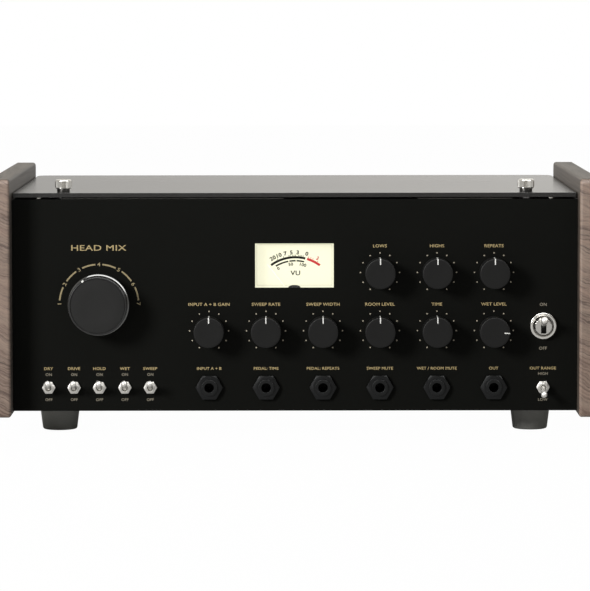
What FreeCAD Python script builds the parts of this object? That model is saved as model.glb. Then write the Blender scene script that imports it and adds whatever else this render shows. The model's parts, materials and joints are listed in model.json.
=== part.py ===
"""Tape echo unit in millimetres: X right, Y to the back, Z up, origin on the ground under the middle."""
import FreeCAD, Part
import math
import os

V = FreeCAD.Vector
RIGHT = V(1, 0, 0)
BACK = V(0, 1, 0)
UP = V(0, 0, 1)

# ---- Case ----
cheek_gap = 387.0  # between the inner faces of the two wooden cheeks
cheek_thickness = 14.8
cheek_depth = 257.0
cheek_lead = 19.5  # the cheeks stand this far ahead of the panel's face
cheek_drop = 2.8  # and reach this far below the floor sheet
cheek_rise = 10.4  # and this far above the lid
cheek_corner = 4.0
cheek_round = 2.0
panel_height = 145.1
panel_thickness = 3.0
panel_gap = 0.3
sheet = 1.5
side_flange = 24.0
front_rail = 8.0
front_lip = 4.0
rear_lip = 12.0
rear_panel_thickness = 1.5
seat_gap = 0.05  # between pieces that are fitted together and stay put
running_gap = 0.05  # round shafts that turn in a bore
loose_gap = 0.3  # between pieces that pass each other

# ---- Feet ----
foot_height = 17.3
foot_top_radius = 14.0
foot_bottom_radius = 11.8
foot_round = 1.6
foot_recess_radius = 5.6
foot_recess = 8.0
foot_x = 164.0
foot_inset = 44.0

# ---- Screws ----
screw_radius = 2.0
screw_head_radius = 3.8
screw_head = 2.4
screw_bite = 9.0
small_screw_radius = 1.25
small_screw_head_radius = 2.3
small_screw_head = 1.3
cheek_screw_height = 60.0
cheek_screw_inset = 40.0
flange_screw_x = 175.5
flange_screw_inset = 7.0

# ---- Lid ----
lid_thickness = 3.0
lid_side_gap = 1.0
lid_setback = 0.7
lid_overhang = 11.5  # past the rear panel
lid_corner = 8.0
seal_height = 1.5
seal_width = 4.0
seal_spans = ((-160.0, -7.5), (84.0, 149.0))
hinge_radius = 3.0
hinge_pin_radius = 1.5
hinge_leaf = 1.2
hinge_width = 50.0
hinge_drop = 16.0
hinge_reach = 18.0
hinge_x = 120.0
knuckle_gap = 0.4

# ---- Lid thumbscrews ----
thumb_x = 159.0
thumb_inset = 18.0
thumb_radius = 5.7
thumb_height = 6.0
thumb_collar_radius = 4.6
thumb_collar = 2.5
thumb_chamfer = 0.8
thumb_shank = 11.0
thumb_hole_gap = 0.6
pillar_radius = 5.0
pillar_bore_gap = 0.8

# ---- Rows and columns of the panel ----
column_pitch = 39.0
last_column_gap = 33.75  # between the last column and the switches on the right
columns = 6
upper_row_columns = (3, 4, 5)
jack_row = 16.1  # height above the panel's lower edge
upper_drop = 50.05  # depths of the other rows below the panel's upper edge
lower_drop = 90.05
dial_drop = 71.4
power_drop = 86.7
meter_rise = 44.7  # height of the meter's middle above the lower row
dial_x = -134.0
switch_x = 170.0
toggle_pitch = 17.4

# ---- Small knobs and their potentiometers ----
knob_radius = 10.3
knob_reach = 17.0
knob_lift = 1.2
knob_bevel = 0.7
knob_well_radius = 7.2
knob_well = 6.0
pointer_width = 1.2
pointer_length = 3.9  # on the face; it also runs down the knob's whole side
pointer_depth = 0.3
shaft_radius = 3.0
shaft_sink = 8.0
pot_radius = 8.2
pot_depth = 10.0
pot_bush_radius = 3.5
pot_bush = 5.5
pot_nut = 10.0
pot_nut_thickness = 2.2
pot_tag_width = 12.0
pot_tag_drop = 6.0
pot_tag_thickness = 1.6

# ---- Mode switch ----
mode_skirt_step = 1.0
mode_skirt_reach = 11.0
mode_knob_radius = 19.9
mode_knob_reach = 20.0
mode_knob_lift = 1.5
mode_rim = 0.8
mode_rim_rise = 1.0
mode_groove = 0.5
mode_groove_depth = 0.8
mode_land = 0.2
mode_dish = 0.8
mode_well_radius = 9.5
mode_well = 8.0
mode_mark = 1.8
mode_mark_depth = 0.25
rotary_radius = 15.0
rotary_depth = 22.0
rotary_bush_radius = 4.7
rotary_bush = 7.0
rotary_nut = 12.7
mode_rest = -30.0
last_knob_rest = 93.0

# ---- Jacks ----
jack_bore = 6.5
jack_sleeve_radius = 5.5
jack_sleeve = 4.6
jack_nut = 16.2
jack_nut_thickness = 3.0
jack_width = 16.0
jack_height = 19.0
jack_depth = 27.0
jack_wall = 2.0

# ---- Small toggles ----
toggle_bush_radius = 3.0
toggle_bush = 6.0
toggle_nut = 8.0
toggle_nut_thickness = 2.0
toggle_width = 7.0
toggle_height = 13.0
toggle_depth = 10.0
toggle_pivot = 4.6
toggle_ball = 1.5
toggle_ball_gap = 0.25
toggle_neck = 1.15
toggle_tip = 2.1
toggle_length = 11.6
toggle_mouth = 2.2
toggle_tilt = 24.0

# ---- Power switch ----
power_ring_radius = 9.15
power_ring_thickness = 3.4
power_ring_step = 6.7
power_ring_seat = 1.2
power_ring_round = 1.1
power_bush_radius = 5.7
power_bush = 7.0
power_slot = 3.6
power_slot_height = 9.6
power_width = 19.0
power_height = 30.0
power_depth = 27.0
power_pivot = 1.6
power_neck = 1.45
power_tip = 2.6
power_length = 16.6
power_tilt = 20.0

# ---- Meter ----
meter_width = 54.0
meter_height = 30.4
meter_wall = 1.4
meter_depth = 21.0
meter_below = 13.5
meter_glass = 2.6
meter_glass_sink = 0.3
meter_face_sink = 8.0
meter_face = 1.0
hub_width = 8.4
hub_rise = 1.6
hub_thickness = 1.4
pivot_drop = 8.0
needle_length = 30.0
needle_width = 0.4
needle_thickness = 0.4
needle_sink = 5.6
needle_hub_radius = 2.4
needle_shaft_radius = 0.9
needle_rest = -38.0
movement_radius = 7.0

# ---- Deck and tape path ----
deck_headroom = 27.4  # from the deck to the lid
deck_thickness = 2.0
deck_side_gap = 0.5
deck_front = 12.0
deck_rear_gap = 4.0
ledge_width = 12.0
tape_line = 60.0  # distance of the tape's run past the heads from the panel's face
tape_width = 6.35
tape_thickness = 0.3
tape_rise = 8.3
tape_clear = 0.3
corner_x = 128.0
corner_radius = 5.0
bin_runs = 7
bin_front = 118.0
bin_rear_gap = 32.5  # from the folds to the rear plate
bin_wall = 1.6
bin_floor = 1.6
bin_margin = 9.0
bin_height = 17.0
bin_mouth = 34.0

# ---- Heads ----
head_xs = (-96.0, -66.0, -31.0, 4.0, 39.0)
head_width = 13.0
head_depth = 14.0
head_height = 17.0
head_nose = 4.0
head_bar_thickness = 3.0
head_bar_margin = 9.0
head_bar_front = 2.0
guide_radius = 3.0
guide_flange_radius = 4.6
guide_flange = 1.0

# ---- Capstan drive ----
capstan_x = 75.0
capstan_top_gap = 6.5
bearing_radius = 7.0
bearing_length = 38.0
bearing_flange_radius = 11.0
bearing_flange = 2.5
flywheel_radius = 34.0
flywheel_thickness = 10.0
flywheel_rim = 7.0
flywheel_web = 4.0
flywheel_hub_radius = 8.0
flywheel_hub = 3.0
motor_x = 140.0
motor_line = 110.0
motor_radius = 25.0
motor_height = 38.0
motor_boss_radius = 6.0
motor_boss = 1.0
pulley_radius = 6.0
pulley_flange = 1.5
pulley_lip = 1.2
belt_thickness = 1.0
belt_width = 5.0

# ---- Pinch roller ----
roller_radius = 9.0
roller_height = 7.4
arm_x = 108.0
arm_line = 36.0
arm_thickness = 2.2
arm_radius = 5.5
arm_post_radius = 3.0
arm_post_head = 4.2
axle_radius = 1.5
axle_head_radius = 2.8
axle_head = 1.0
spring_radius = 4.6
spring_wire = 0.5
spring_turns = 4

# ---- Inside the floor ----
board_x0 = -78.0
board_x1 = 150.0
board_front = 56.0
board_rear_gap = 37.5
board_rise = 7.0
board_thickness = 1.6
standoff_radius = 3.2
capacitor_radius = 7.0
capacitor_height = 25.0
capacitor_pitch = 20.0
capacitors = 4
core_width = 57.0
core_depth = 38.0
core_height = 48.0
core_x = -138.0
core_rear_gap = 72.5
coil_overhang = 9.0
coil_margin = 10.0
core_foot = 3.0
core_foot_reach = 10.0

# ---- Mains inlet and vents ----
inlet_x = -138.0
inlet_row = 40.0
inlet_width = 27.5
inlet_height = 20.0
inlet_flange_width = 50.0
inlet_flange_height = 25.0
inlet_flange = 2.4
inlet_depth = 20.0
inlet_recess_width = 24.0
inlet_recess_height = 16.0
inlet_recess = 16.0
inlet_pin = 9.0
inlet_pin_width = 2.0
inlet_pin_height = 4.0
inlet_pin_spread = 7.0
vent_x = 60.0
vent_drop = 53.1
vents = 10
vent_pitch = 9.0
vent_width = 3.2
vent_length = 34.0

# ---- Places worked out from the sizes ----
front_reach = max(mode_knob_reach, cheek_lead)
rear_face = cheek_depth - cheek_lead
depth_over_all = front_reach + rear_face + lid_overhang
y_panel = front_reach - depth_over_all / 2
half_gap = cheek_gap / 2
floor_z = foot_height
floor_top = floor_z + sheet
cheek_bottom = floor_z - cheek_drop
panel_top = floor_z + panel_height
lid_bottom = panel_top + seal_height
lid_top = lid_bottom + lid_thickness
cheek_top = lid_top + cheek_rise
deck_top = lid_bottom - deck_headroom
deck_bottom = deck_top - deck_thickness
bin_back = rear_face - bin_rear_gap
board_back = rear_face - board_rear_gap
core_line = rear_face - core_rear_gap
wall_face = half_gap - sheet
first_column = switch_x - last_column_gap - (columns - 1) * column_pitch
column_xs = [first_column + i * column_pitch for i in range(columns)]
toggle_xs = [dial_x + (i - 2) * toggle_pitch for i in range(5)]
jack_z = floor_z + jack_row
lower_z = panel_top - lower_drop
upper_z = panel_top - upper_drop
dial_z = panel_top - dial_drop
power_z = panel_top - power_drop
meter_x = (column_xs[1] + column_xs[2]) / 2
meter_z = lower_z + meter_rise
pivot_z = meter_z - meter_height / 2 - pivot_drop
shaft_out = knob_lift + knob_well
tape_bottom = deck_top + tape_rise
capstan_line = tape_line + tape_thickness / 2 + tape_clear + shaft_radius
roller_line = tape_line - tape_thickness / 2 - tape_clear - roller_radius
bearing_bottom = deck_bottom - bearing_length
flywheel_top = bearing_bottom - running_gap - flywheel_hub
flywheel_bottom = flywheel_top - flywheel_thickness
belt_z = (flywheel_top + flywheel_bottom) / 2
arm_bottom = tape_bottom - (roller_height - tape_width) / 2 - loose_gap - arm_thickness
hinge_y = rear_face + hinge_radius
hinge_z = lid_bottom - hinge_radius


def y_at(depth):
    """World Y of a place this deep behind the panel's face (negative: in front of it)."""
    return y_panel + depth


def block(x0, x1, d0, d1, z0, z1):
    """Box between two depths behind the panel's face."""
    return Part.makeBox(x1 - x0, d1 - d0, z1 - z0, V(x0, y_at(d0), z0))


def rod_back(x, z, radius, d0, d1):
    """Round rod that runs front to back."""
    return Part.makeCylinder(radius, d1 - d0, V(x, y_at(d0), z), BACK)


def rod_up(x, depth, radius, z0, z1):
    """Upright round rod."""
    return Part.makeCylinder(radius, z1 - z0, V(x, y_at(depth), z0), UP)


def rod_across(depth, z, radius, x0, x1):
    """Round rod that runs left to right."""
    return Part.makeCylinder(radius, x1 - x0, V(x0, y_at(depth), z), RIGHT)


def turned_front(x, z, profile):
    """Solid turned about a front-to-back axis; profile points are (radius, distance before the panel)."""
    points = [V(x + r, y_at(-out), z) for r, out in profile]
    face = Part.Face(Part.makePolygon(points + points[:1]))
    return face.revolve(V(x, y_at(0), z), BACK, 360)


def turned_up(x, depth, profile):
    """Solid turned about an upright axis; profile points are (radius, height)."""
    points = [V(x + r, y_at(depth), z) for r, z in profile]
    face = Part.Face(Part.makePolygon(points + points[:1]))
    return face.revolve(V(x, y_at(depth), 0), UP, 360)


def hexagon(x, z, across_flats, out0, out1):
    """Hexagonal prism on the panel, with two corners level."""
    corner = across_flats / math.sqrt(3)
    points = []
    for i in range(7):
        turn = math.radians(60 * i)
        points.append(V(x + corner * math.cos(turn), y_at(-out0), z + corner * math.sin(turn)))
    return Part.Face(Part.makePolygon(points)).extrude(V(0, out0 - out1, 0))


def nut(x, z, across_flats, thickness, bore):
    """Hexagonal nut that lies on the panel's face, its outer corners turned off."""
    corner = across_flats / math.sqrt(3)
    flat = across_flats / 2
    ease = (corner - flat) * 0.6
    blank = turned_front(x, z, [(bore, 0), (corner, 0), (corner, thickness - ease), (flat, thickness),
                                (bore, thickness)])
    return hexagon(x, z, across_flats, 0, thickness).common(blank)


def joined(shapes):
    """One solid from overlapping shapes."""
    result = shapes[0]
    for shape in shapes[1:]:
        result = result.fuse(shape)
    return result.removeSplitter()


def without(shape, tools):
    """The shape with every tool cut out of it."""
    return shape.cut(Part.makeCompound(tools))


# ---- Case ----
def cheek(side):
    """Wooden side board; side is -1 for the left one and 1 for the right one."""
    inner = side * half_gap
    outer = side * (half_gap + cheek_thickness)
    board = block(min(inner, outer), max(inner, outer), -cheek_lead, rear_face,
                  cheek_bottom, cheek_top)
    ends = [e for e in board.Edges if abs(abs(e.tangentAt(e.FirstParameter).x) - 1) < 1e-6]
    board = board.makeFillet(cheek_corner, ends)
    rims = [e for e in board.Edges if e.BoundBox.XLength < 1e-6]
    board = board.makeFillet(cheek_round, rims)
    holes = []
    for depth in cheek_screw_depths():
        start = min(inner, inner + side * (screw_bite + 1))
        holes.append(rod_across(depth, cheek_screw_height, screw_radius + seat_gap, start,
                                start + screw_bite + 1))
    return without(board, holes)


def cheek_screw_depths():
    """Where the screws into the cheeks are, from front to back."""
    first = cheek_screw_inset
    last = rear_face - cheek_screw_inset
    return [first, (first + last) / 2, last]


def foot_places():
    """X and depth of the four feet."""
    depths = (foot_inset, rear_face - foot_inset)
    return [(side * foot_x, depth) for side in (-1, 1) for depth in depths]


def chassis_tray():
    """Folded steel tray: floor, two walls with flanges at the top, deck ledges, lips and a front rail."""
    inner_top = panel_top - sheet
    flange_x = half_gap - side_flange
    right = [(half_gap, floor_z), (half_gap, panel_top), (flange_x, panel_top), (flange_x, inner_top),
             (wall_face, inner_top), (wall_face, floor_top)]
    left = [(-x, z) for x, z in reversed(right)]
    depth0 = panel_thickness
    depth1 = rear_face - rear_panel_thickness
    points = [V(x, y_at(depth0), z) for x, z in right + left]
    tray = Part.Face(Part.makePolygon(points + points[:1])).extrude(V(0, depth1 - depth0, 0))
    extras = [block(-flange_x, flange_x, depth0, depth0 + front_rail, inner_top, panel_top)]
    for depth, height in ((depth0, front_lip), (depth1 - sheet, rear_lip)):
        extras.append(block(-wall_face, wall_face, depth, depth + sheet, floor_top, floor_top + height))
    for side in (-1, 1):
        edge = side * (wall_face - ledge_width)
        wall = side * wall_face
        extras.append(block(min(edge, wall), max(edge, wall), deck_front, rear_face - deck_rear_gap,
                            deck_bottom - sheet, deck_bottom))
    tray = joined([tray] + extras)
    holes = [rod_up(x, depth, screw_radius + seat_gap, floor_z, floor_top) for x, depth in foot_places()]
    for depth in cheek_screw_depths():
        holes.append(rod_across(depth, cheek_screw_height, screw_radius + seat_gap, -half_gap, half_gap))
    for side in (-1, 1):
        holes.append(rod_up(side * flange_screw_x, flange_screw_inset, small_screw_radius + seat_gap,
                            inner_top, panel_top))
    return without(tray, holes)


def front_panel():
    """Aluminium front plate with a hole for every control."""
    half = half_gap - panel_gap
    plate = block(-half, half, 0, panel_thickness, floor_z, panel_top)
    holes = [meter_block(0, 0, panel_thickness)]
    places = [(x, z, pot_bush_radius) for x, z in pot_places()]
    places += [(x, jack_z, jack_sleeve_radius) for x in column_xs]
    places += [(x, jack_z, toggle_bush_radius) for x in toggle_xs + [switch_x]]
    places += [(dial_x, dial_z, rotary_bush_radius), (switch_x, power_z, power_bush_radius)]
    for x, z, radius in places:
        holes.append(rod_back(x, z, radius + seat_gap, 0, panel_thickness))
    return without(plate, holes)


def rear_panel():
    """Steel rear plate with the mains inlet's cut-out and a row of cooling slots."""
    half = half_gap - panel_gap
    depth0 = rear_face - rear_panel_thickness
    plate = block(-half, half, depth0, rear_face, floor_z, panel_top)
    inlet_z = floor_z + inlet_row
    reach = inlet_width / 2 + seat_gap
    rise = inlet_height / 2 + seat_gap
    holes = [block(inlet_x - reach, inlet_x + reach, depth0, rear_face, inlet_z - rise, inlet_z + rise)]
    for i in range(vents):
        x = vent_x + (i - (vents - 1) / 2) * vent_pitch
        z0 = panel_top - vent_drop - vent_length / 2
        z1 = z0 + vent_length
        holes.append(block(x - vent_width / 2, x + vent_width / 2, depth0, rear_face, z0, z1))
        for z in (z0, z1):
            holes.append(rod_back(x, z, vent_width / 2, depth0, rear_face))
    for x, z in rear_screw_places():
        holes.append(rod_back(x, z, small_screw_radius + seat_gap, depth0, rear_face))
    return without(plate, holes)


def rear_screw_places():
    """Screws that hold the rear plate to the tray's lip and flanges."""
    z = floor_top + rear_lip / 2
    return [(side * x, z) for side in (-1, 1) for x in (foot_x, foot_x / 3)]


def rubber_feet():
    """Tapered round feet with a recess for the screw."""
    feet = []
    for x, depth in foot_places():
        profile = [(screw_radius + seat_gap, floor_z), (foot_top_radius, floor_z),
                   (foot_bottom_radius + foot_round * 0.2, foot_round),
                   (foot_bottom_radius - foot_round * 0.8, 0), (foot_recess_radius, 0),
                   (foot_recess_radius, foot_recess), (screw_radius + seat_gap, foot_recess)]
        feet.append(turned_up(x, depth, profile))
    return feet


def case_screws():
    """Foot, cheek, flange and rear-plate screws."""
    screws = []
    for x, depth in foot_places():
        head = rod_up(x, depth, screw_head_radius, foot_recess - screw_head, foot_recess)
        shank = rod_up(x, depth, screw_radius, foot_recess - screw_head, floor_top + screw_radius)
        screws.append(joined([head, shank]))
    for side in (-1, 1):
        for depth in cheek_screw_depths():
            face = side * wall_face
            inside = face - side * screw_head
            end = side * (half_gap + screw_bite)
            z = cheek_screw_height
            head = rod_across(depth, z, screw_head_radius, min(face, inside), max(face, inside))
            shank = rod_across(depth, z, screw_radius, min(end, inside), max(end, inside))
            screws.append(joined([head, shank]))
        x = side * flange_screw_x
        head = rod_up(x, flange_screw_inset, small_screw_head_radius, panel_top, panel_top + small_screw_head)
        shank = rod_up(x, flange_screw_inset, small_screw_radius, panel_top - sheet * 3, panel_top)
        screws.append(joined([head, shank]))
    for x, z in rear_screw_places():
        head = rod_back(x, z, small_screw_head_radius, rear_face, rear_face + small_screw_head)
        shank = rod_back(x, z, small_screw_radius, rear_face - rear_panel_thickness, rear_face)
        screws.append(joined([head, shank]))
    return screws


# ---- Lid ----
def lid_panel():
    """Smoked acrylic sheet with rounded rear corners and two holes for the thumbscrews."""
    half = half_gap - lid_side_gap
    plate = block(-half, half, lid_setback, rear_face + lid_overhang, lid_bottom, lid_top)
    rear = y_at(rear_face + lid_overhang)
    corners = [e for e in plate.Edges if e.BoundBox.ZLength > lid_thickness / 2
               and e.BoundBox.YMax > rear - 1]
    plate = plate.makeFillet(lid_corner, corners)
    holes = [rod_up(side * thumb_x, thumb_inset, screw_radius + thumb_hole_gap, lid_bottom, lid_top)
             for side in (-1, 1)]
    return without(plate, holes)


def lid_seals():
    """Foam strips on the front rail that the lid closes on."""
    depth = panel_thickness + seal_gap_from_rail()
    return [block(x0, x1, depth, depth + seal_width, panel_top, lid_bottom) for x0, x1 in seal_spans]


def seal_gap_from_rail():
    """The strips lie in the middle of the rail."""
    return (front_rail - seal_width) / 2


def knuckle(x0, x1):
    """One rolled knuckle round the hinge pin."""
    outside = rod_across(hinge_y, hinge_z, hinge_radius, x0, x1)
    return outside.cut(rod_across(hinge_y, hinge_z, hinge_pin_radius + seat_gap, x0, x1))


def hinge_parts(x):
    """Edges of the three knuckles of the hinge at this X."""
    third = hinge_width / 3
    start = x - hinge_width / 2
    return start, start + third, start + 2 * third, start + hinge_width


def hinge_fixed_leaves():
    """Leaves on the rear plate, each with two knuckles and its pin."""
    solids = []
    for x in (-hinge_x, hinge_x):
        a, b, c, d = hinge_parts(x)
        leaf_back = rear_face + hinge_leaf
        leaf = block(a, d, rear_face, leaf_back, hinge_z - hinge_drop, hinge_z - hinge_radius - knuckle_gap)
        webs = [block(x0, x1, rear_face, leaf_back, hinge_z - hinge_radius - knuckle_gap, hinge_z)
                for x0, x1 in ((a, b - knuckle_gap), (c + knuckle_gap, d))]
        bore = rod_across(hinge_y, hinge_z, hinge_pin_radius + seat_gap, a, d)
        leaf = joined([leaf] + webs + [knuckle(a, b - knuckle_gap), knuckle(c + knuckle_gap, d)])
        solids.append(leaf.cut(bore))
        solids.append(rod_across(hinge_y, hinge_z, hinge_pin_radius, a, d))
    return solids


def hinge_lid_leaves():
    """Leaves bonded under the lid, each with the middle knuckle."""
    solids = []
    for x in (-hinge_x, hinge_x):
        a, b, c, d = hinge_parts(x)
        front = hinge_y - hinge_radius
        low = lid_bottom - hinge_leaf
        leaf = block(a, d, front - hinge_reach, front, low, lid_bottom)
        web = block(b, c, front, hinge_y, low, lid_bottom)
        bore = rod_across(hinge_y, hinge_z, hinge_pin_radius + seat_gap, b, c)
        solids.append(joined([leaf, web, knuckle(b, c)]).cut(bore))
    return solids


def thumbscrew(side):
    """Knurled thumbscrew that stays in the lid."""
    collar_top = lid_top + thumb_collar
    top = collar_top + thumb_height
    profile = [(0, lid_top - thumb_shank), (screw_radius, lid_top - thumb_shank), (screw_radius, lid_top),
               (thumb_collar_radius, lid_top), (thumb_collar_radius, collar_top), (thumb_radius, collar_top),
               (thumb_radius, top - thumb_chamfer), (thumb_radius - thumb_chamfer, top), (0, top)]
    return turned_up(side * thumb_x, thumb_inset, profile)


def lid_pillars():
    """Posts on the deck with the threaded hole for each thumbscrew."""
    posts = []
    for side in (-1, 1):
        post = rod_up(side * thumb_x, thumb_inset, pillar_radius, deck_top, lid_bottom - loose_gap)
        bore = rod_up(side * thumb_x, thumb_inset, screw_radius + pillar_bore_gap,
                      lid_top - thumb_shank - sheet, lid_bottom)
        posts.append(post.cut(bore))
    return posts


# ---- Controls ----
def pot_places():
    """X and Z of the nine small knobs, lower row first."""
    lower = [(x, lower_z) for x in column_xs]
    upper = [(column_xs[i], upper_z) for i in upper_row_columns]
    return lower + upper


def potentiometers():
    """Round potentiometers behind the panel, each with its bush and its row of tags."""
    back_face = panel_thickness + pot_depth
    solids = []
    for x, z in pot_places():
        can = rod_back(x, z, pot_radius, panel_thickness, back_face)
        bush = rod_back(x, z, pot_bush_radius, -pot_bush, panel_thickness)
        tags = block(x - pot_tag_width / 2, x + pot_tag_width / 2, panel_thickness + pot_tag_thickness,
                     panel_thickness + 2 * pot_tag_thickness, z - pot_radius - pot_tag_drop, z)
        bore = rod_back(x, z, shaft_radius + running_gap, -pot_bush, shaft_sink + running_gap)
        solids.append(joined([can, bush, tags]).cut(bore))
    return solids


def panel_nuts():
    """Nuts of the potentiometers, of the mode switch and of the small toggles."""
    toggle_bore = toggle_bush_radius + seat_gap
    solids = [nut(x, z, pot_nut, pot_nut_thickness, pot_bush_radius + seat_gap) for x, z in pot_places()]
    solids.append(nut(dial_x, dial_z, rotary_nut, pot_nut_thickness, rotary_bush_radius + seat_gap))
    for x in toggle_xs + [switch_x]:
        solids.append(nut(x, jack_z, toggle_nut, toggle_nut_thickness, toggle_bore))
    return solids


def pointer_slot(x, z, rest):
    """Cutter for a small knob's pointer line, down its side and a little way onto its face."""
    x0 = x - pointer_width / 2
    x1 = x + pointer_width / 2
    bottom = z + knob_radius - pointer_depth
    side = block(x0, x1, -knob_reach, -knob_lift, bottom, bottom + 2 * pointer_depth)
    face = block(x0, x1, -knob_reach, pointer_depth - knob_reach, z + knob_radius - pointer_length,
                 z + knob_radius)
    corner = block(x0, x1, -knob_reach, knob_bevel + pointer_depth - knob_reach, bottom - knob_bevel,
                   bottom + 2 * pointer_depth)
    slot = joined([side, face, corner])
    slot.rotate(V(x, y_at(0), z), BACK, rest)
    return slot


def small_knob(x, z, rest):
    """Small knob with its well over the nut, and the shaft that it is pushed on."""
    top = knob_radius - knob_bevel
    knob = turned_front(x, z, [(0, shaft_out), (knob_well_radius, shaft_out), (knob_well_radius, knob_lift),
                               (knob_radius, knob_lift), (knob_radius, knob_reach - knob_bevel),
                               (top, knob_reach), (0, knob_reach)])
    knob = knob.cut(pointer_slot(x, z, rest))
    shaft = rod_back(x, z, shaft_radius, -shaft_out, shaft_sink)
    return [knob, shaft]


def rotary_switch():
    """Round wafer switch of the mode dial."""
    can = rod_back(dial_x, dial_z, rotary_radius, panel_thickness, panel_thickness + rotary_depth)
    bush = rod_back(dial_x, dial_z, rotary_bush_radius, -rotary_bush, panel_thickness)
    bore = rod_back(dial_x, dial_z, shaft_radius + running_gap, -rotary_bush, shaft_sink + running_gap)
    return joined([can, bush]).cut(bore)


def mode_mark_cutter():
    """Cutter for the square mark, square to the bevel of the large knob's rim."""
    sunk = mode_mark_depth * mode_rim / mode_rim_rise
    edge_out = mode_knob_reach - mode_rim_rise
    rim_in = mode_knob_radius - mode_rim
    outline = [(rim_in, mode_knob_reach), (mode_knob_radius, edge_out),
               (mode_knob_radius - mode_mark_depth, edge_out - sunk),
               (rim_in - mode_mark_depth, mode_knob_reach - sunk)]
    points = [V(dial_x - mode_mark / 2, y_at(-out), dial_z + r) for r, out in outline]
    mark = Part.Face(Part.makePolygon(points + points[:1])).extrude(V(mode_mark, 0, 0))
    mark.rotate(V(dial_x, y_at(0), dial_z), BACK, mode_rest)
    return mark


def mode_knob():
    """Large knob with a wider skirt, a bevelled rim, a groove and a dished face, and its shaft."""
    floor_out = mode_knob_lift + mode_well
    rim_in = mode_knob_radius - mode_rim
    land_in = rim_in - mode_land
    groove_in = land_in - mode_groove
    groove_out = mode_knob_reach - mode_groove_depth
    face_out = mode_knob_reach - mode_groove_depth / 2
    skirt = mode_knob_radius + mode_skirt_step
    profile = [(0, floor_out), (mode_well_radius, floor_out), (mode_well_radius, mode_knob_lift),
               (skirt, mode_knob_lift), (skirt, mode_skirt_reach - mode_skirt_step),
               (skirt - mode_skirt_step * 0.3, mode_skirt_reach - mode_skirt_step * 0.3),
               (mode_knob_radius, mode_skirt_reach), (mode_knob_radius, mode_knob_reach - mode_rim_rise),
               (rim_in, mode_knob_reach), (land_in, mode_knob_reach), (land_in, groove_out),
               (groove_in, groove_out), (groove_in, face_out), (0, face_out - mode_dish)]
    knob = turned_front(dial_x, dial_z, profile).cut(mode_mark_cutter())
    shaft = rod_back(dial_x, dial_z, shaft_radius, -floor_out, shaft_sink)
    return [knob, shaft]


def jack_sockets():
    """Jack sockets: a moulded housing behind the panel and a sleeve through it."""
    solids = []
    for x in column_xs:
        housing = block(x - jack_width / 2, x + jack_width / 2, panel_thickness, panel_thickness + jack_depth,
                        jack_z - jack_height / 2, jack_z + jack_height / 2)
        sleeve = rod_back(x, jack_z, jack_sleeve_radius, -jack_sleeve, panel_thickness)
        bore = rod_back(x, jack_z, jack_bore / 2, -jack_sleeve, panel_thickness + jack_depth - jack_wall)
        solids.append(joined([housing, sleeve]).cut(bore))
    return solids


def jack_nuts():
    """Black nuts of the jacks."""
    return [nut(x, jack_z, jack_nut, jack_nut_thickness, jack_sleeve_radius + seat_gap) for x in column_xs]


def toggle_switches():
    """Small toggle switches behind the panel, their bushes bored out for the lever."""
    solids = []
    for x in toggle_xs + [switch_x]:
        rear = panel_thickness + toggle_depth
        body = block(x - toggle_width / 2, x + toggle_width / 2, panel_thickness, rear,
                     jack_z - toggle_height / 2, jack_z + toggle_height / 2)
        bush = rod_back(x, jack_z, toggle_bush_radius, -toggle_bush, panel_thickness)
        seat = toggle_ball + toggle_ball_gap
        well = turned_front(x, jack_z, [(0, toggle_pivot - seat), (seat, toggle_pivot - seat),
                                        (seat, toggle_pivot + toggle_ball / 2), (toggle_mouth, toggle_bush),
                                        (0, toggle_bush)])
        solids.append(joined([body, bush]).cut(well))
    return solids


def lever(x, z, pivot, ball, neck, tip, length, tilt):
    """Bat-shaped lever on a ball, tilted down by the given angle (negative: up)."""
    reach = pivot + length - tip
    profile = [(0, pivot - ball), (ball * 0.7, pivot - ball * 0.7), (ball, pivot), (neck, pivot + ball * 0.9),
               (tip, reach), (tip * 0.8, reach + tip * 0.6), (0, reach + tip)]
    bat = turned_front(x, z, profile)
    bat.rotate(V(x, y_at(-pivot), z), RIGHT, tilt)
    return bat


def small_lever(x, tilt):
    """Lever of a small toggle."""
    return lever(x, jack_z, toggle_pivot, toggle_ball, toggle_neck, toggle_tip, toggle_length, tilt)


def power_switch_body():
    """Mains toggle switch: housing, and a bush with an upright slot for the lever."""
    body = block(switch_x - power_width / 2, switch_x + power_width / 2, panel_thickness,
                 panel_thickness + power_depth, power_z - power_height / 2, power_z + power_height / 2)
    bush = rod_back(switch_x, power_z, power_bush_radius, -power_bush, panel_thickness)
    slot = block(switch_x - power_slot / 2, switch_x + power_slot / 2, -power_bush, 0,
                 power_z - power_slot_height / 2, power_z + power_slot_height / 2)
    return joined([body, bush]).cut(slot)


def power_switch_ring():
    """Polished dress ring with a sunk step round the bush."""
    bore = power_bush_radius + seat_gap
    return turned_front(switch_x, power_z, [
        (bore, 0), (power_ring_radius, 0), (power_ring_radius, power_ring_thickness - power_ring_round),
        (power_ring_radius - power_ring_round * 0.3, power_ring_thickness - power_ring_round * 0.3),
        (power_ring_radius - power_ring_round, power_ring_thickness), (power_ring_step, power_ring_thickness),
        (power_ring_step, power_ring_seat), (bore, power_ring_seat)])


def power_lever():
    """Bat lever of the mains switch, up."""
    neck = power_neck * 0.9
    return lever(switch_x, power_z, power_pivot, power_neck, neck, power_tip, power_length, -power_tilt)


# ---- Meter ----
def meter_block(grow, d0, d1):
    """Box of the meter's window, grown or shrunk all round."""
    reach = meter_width / 2 + grow
    rise = meter_height / 2 + grow
    return block(meter_x - reach, meter_x + reach, d0, d1, meter_z - rise, meter_z + rise)


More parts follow.
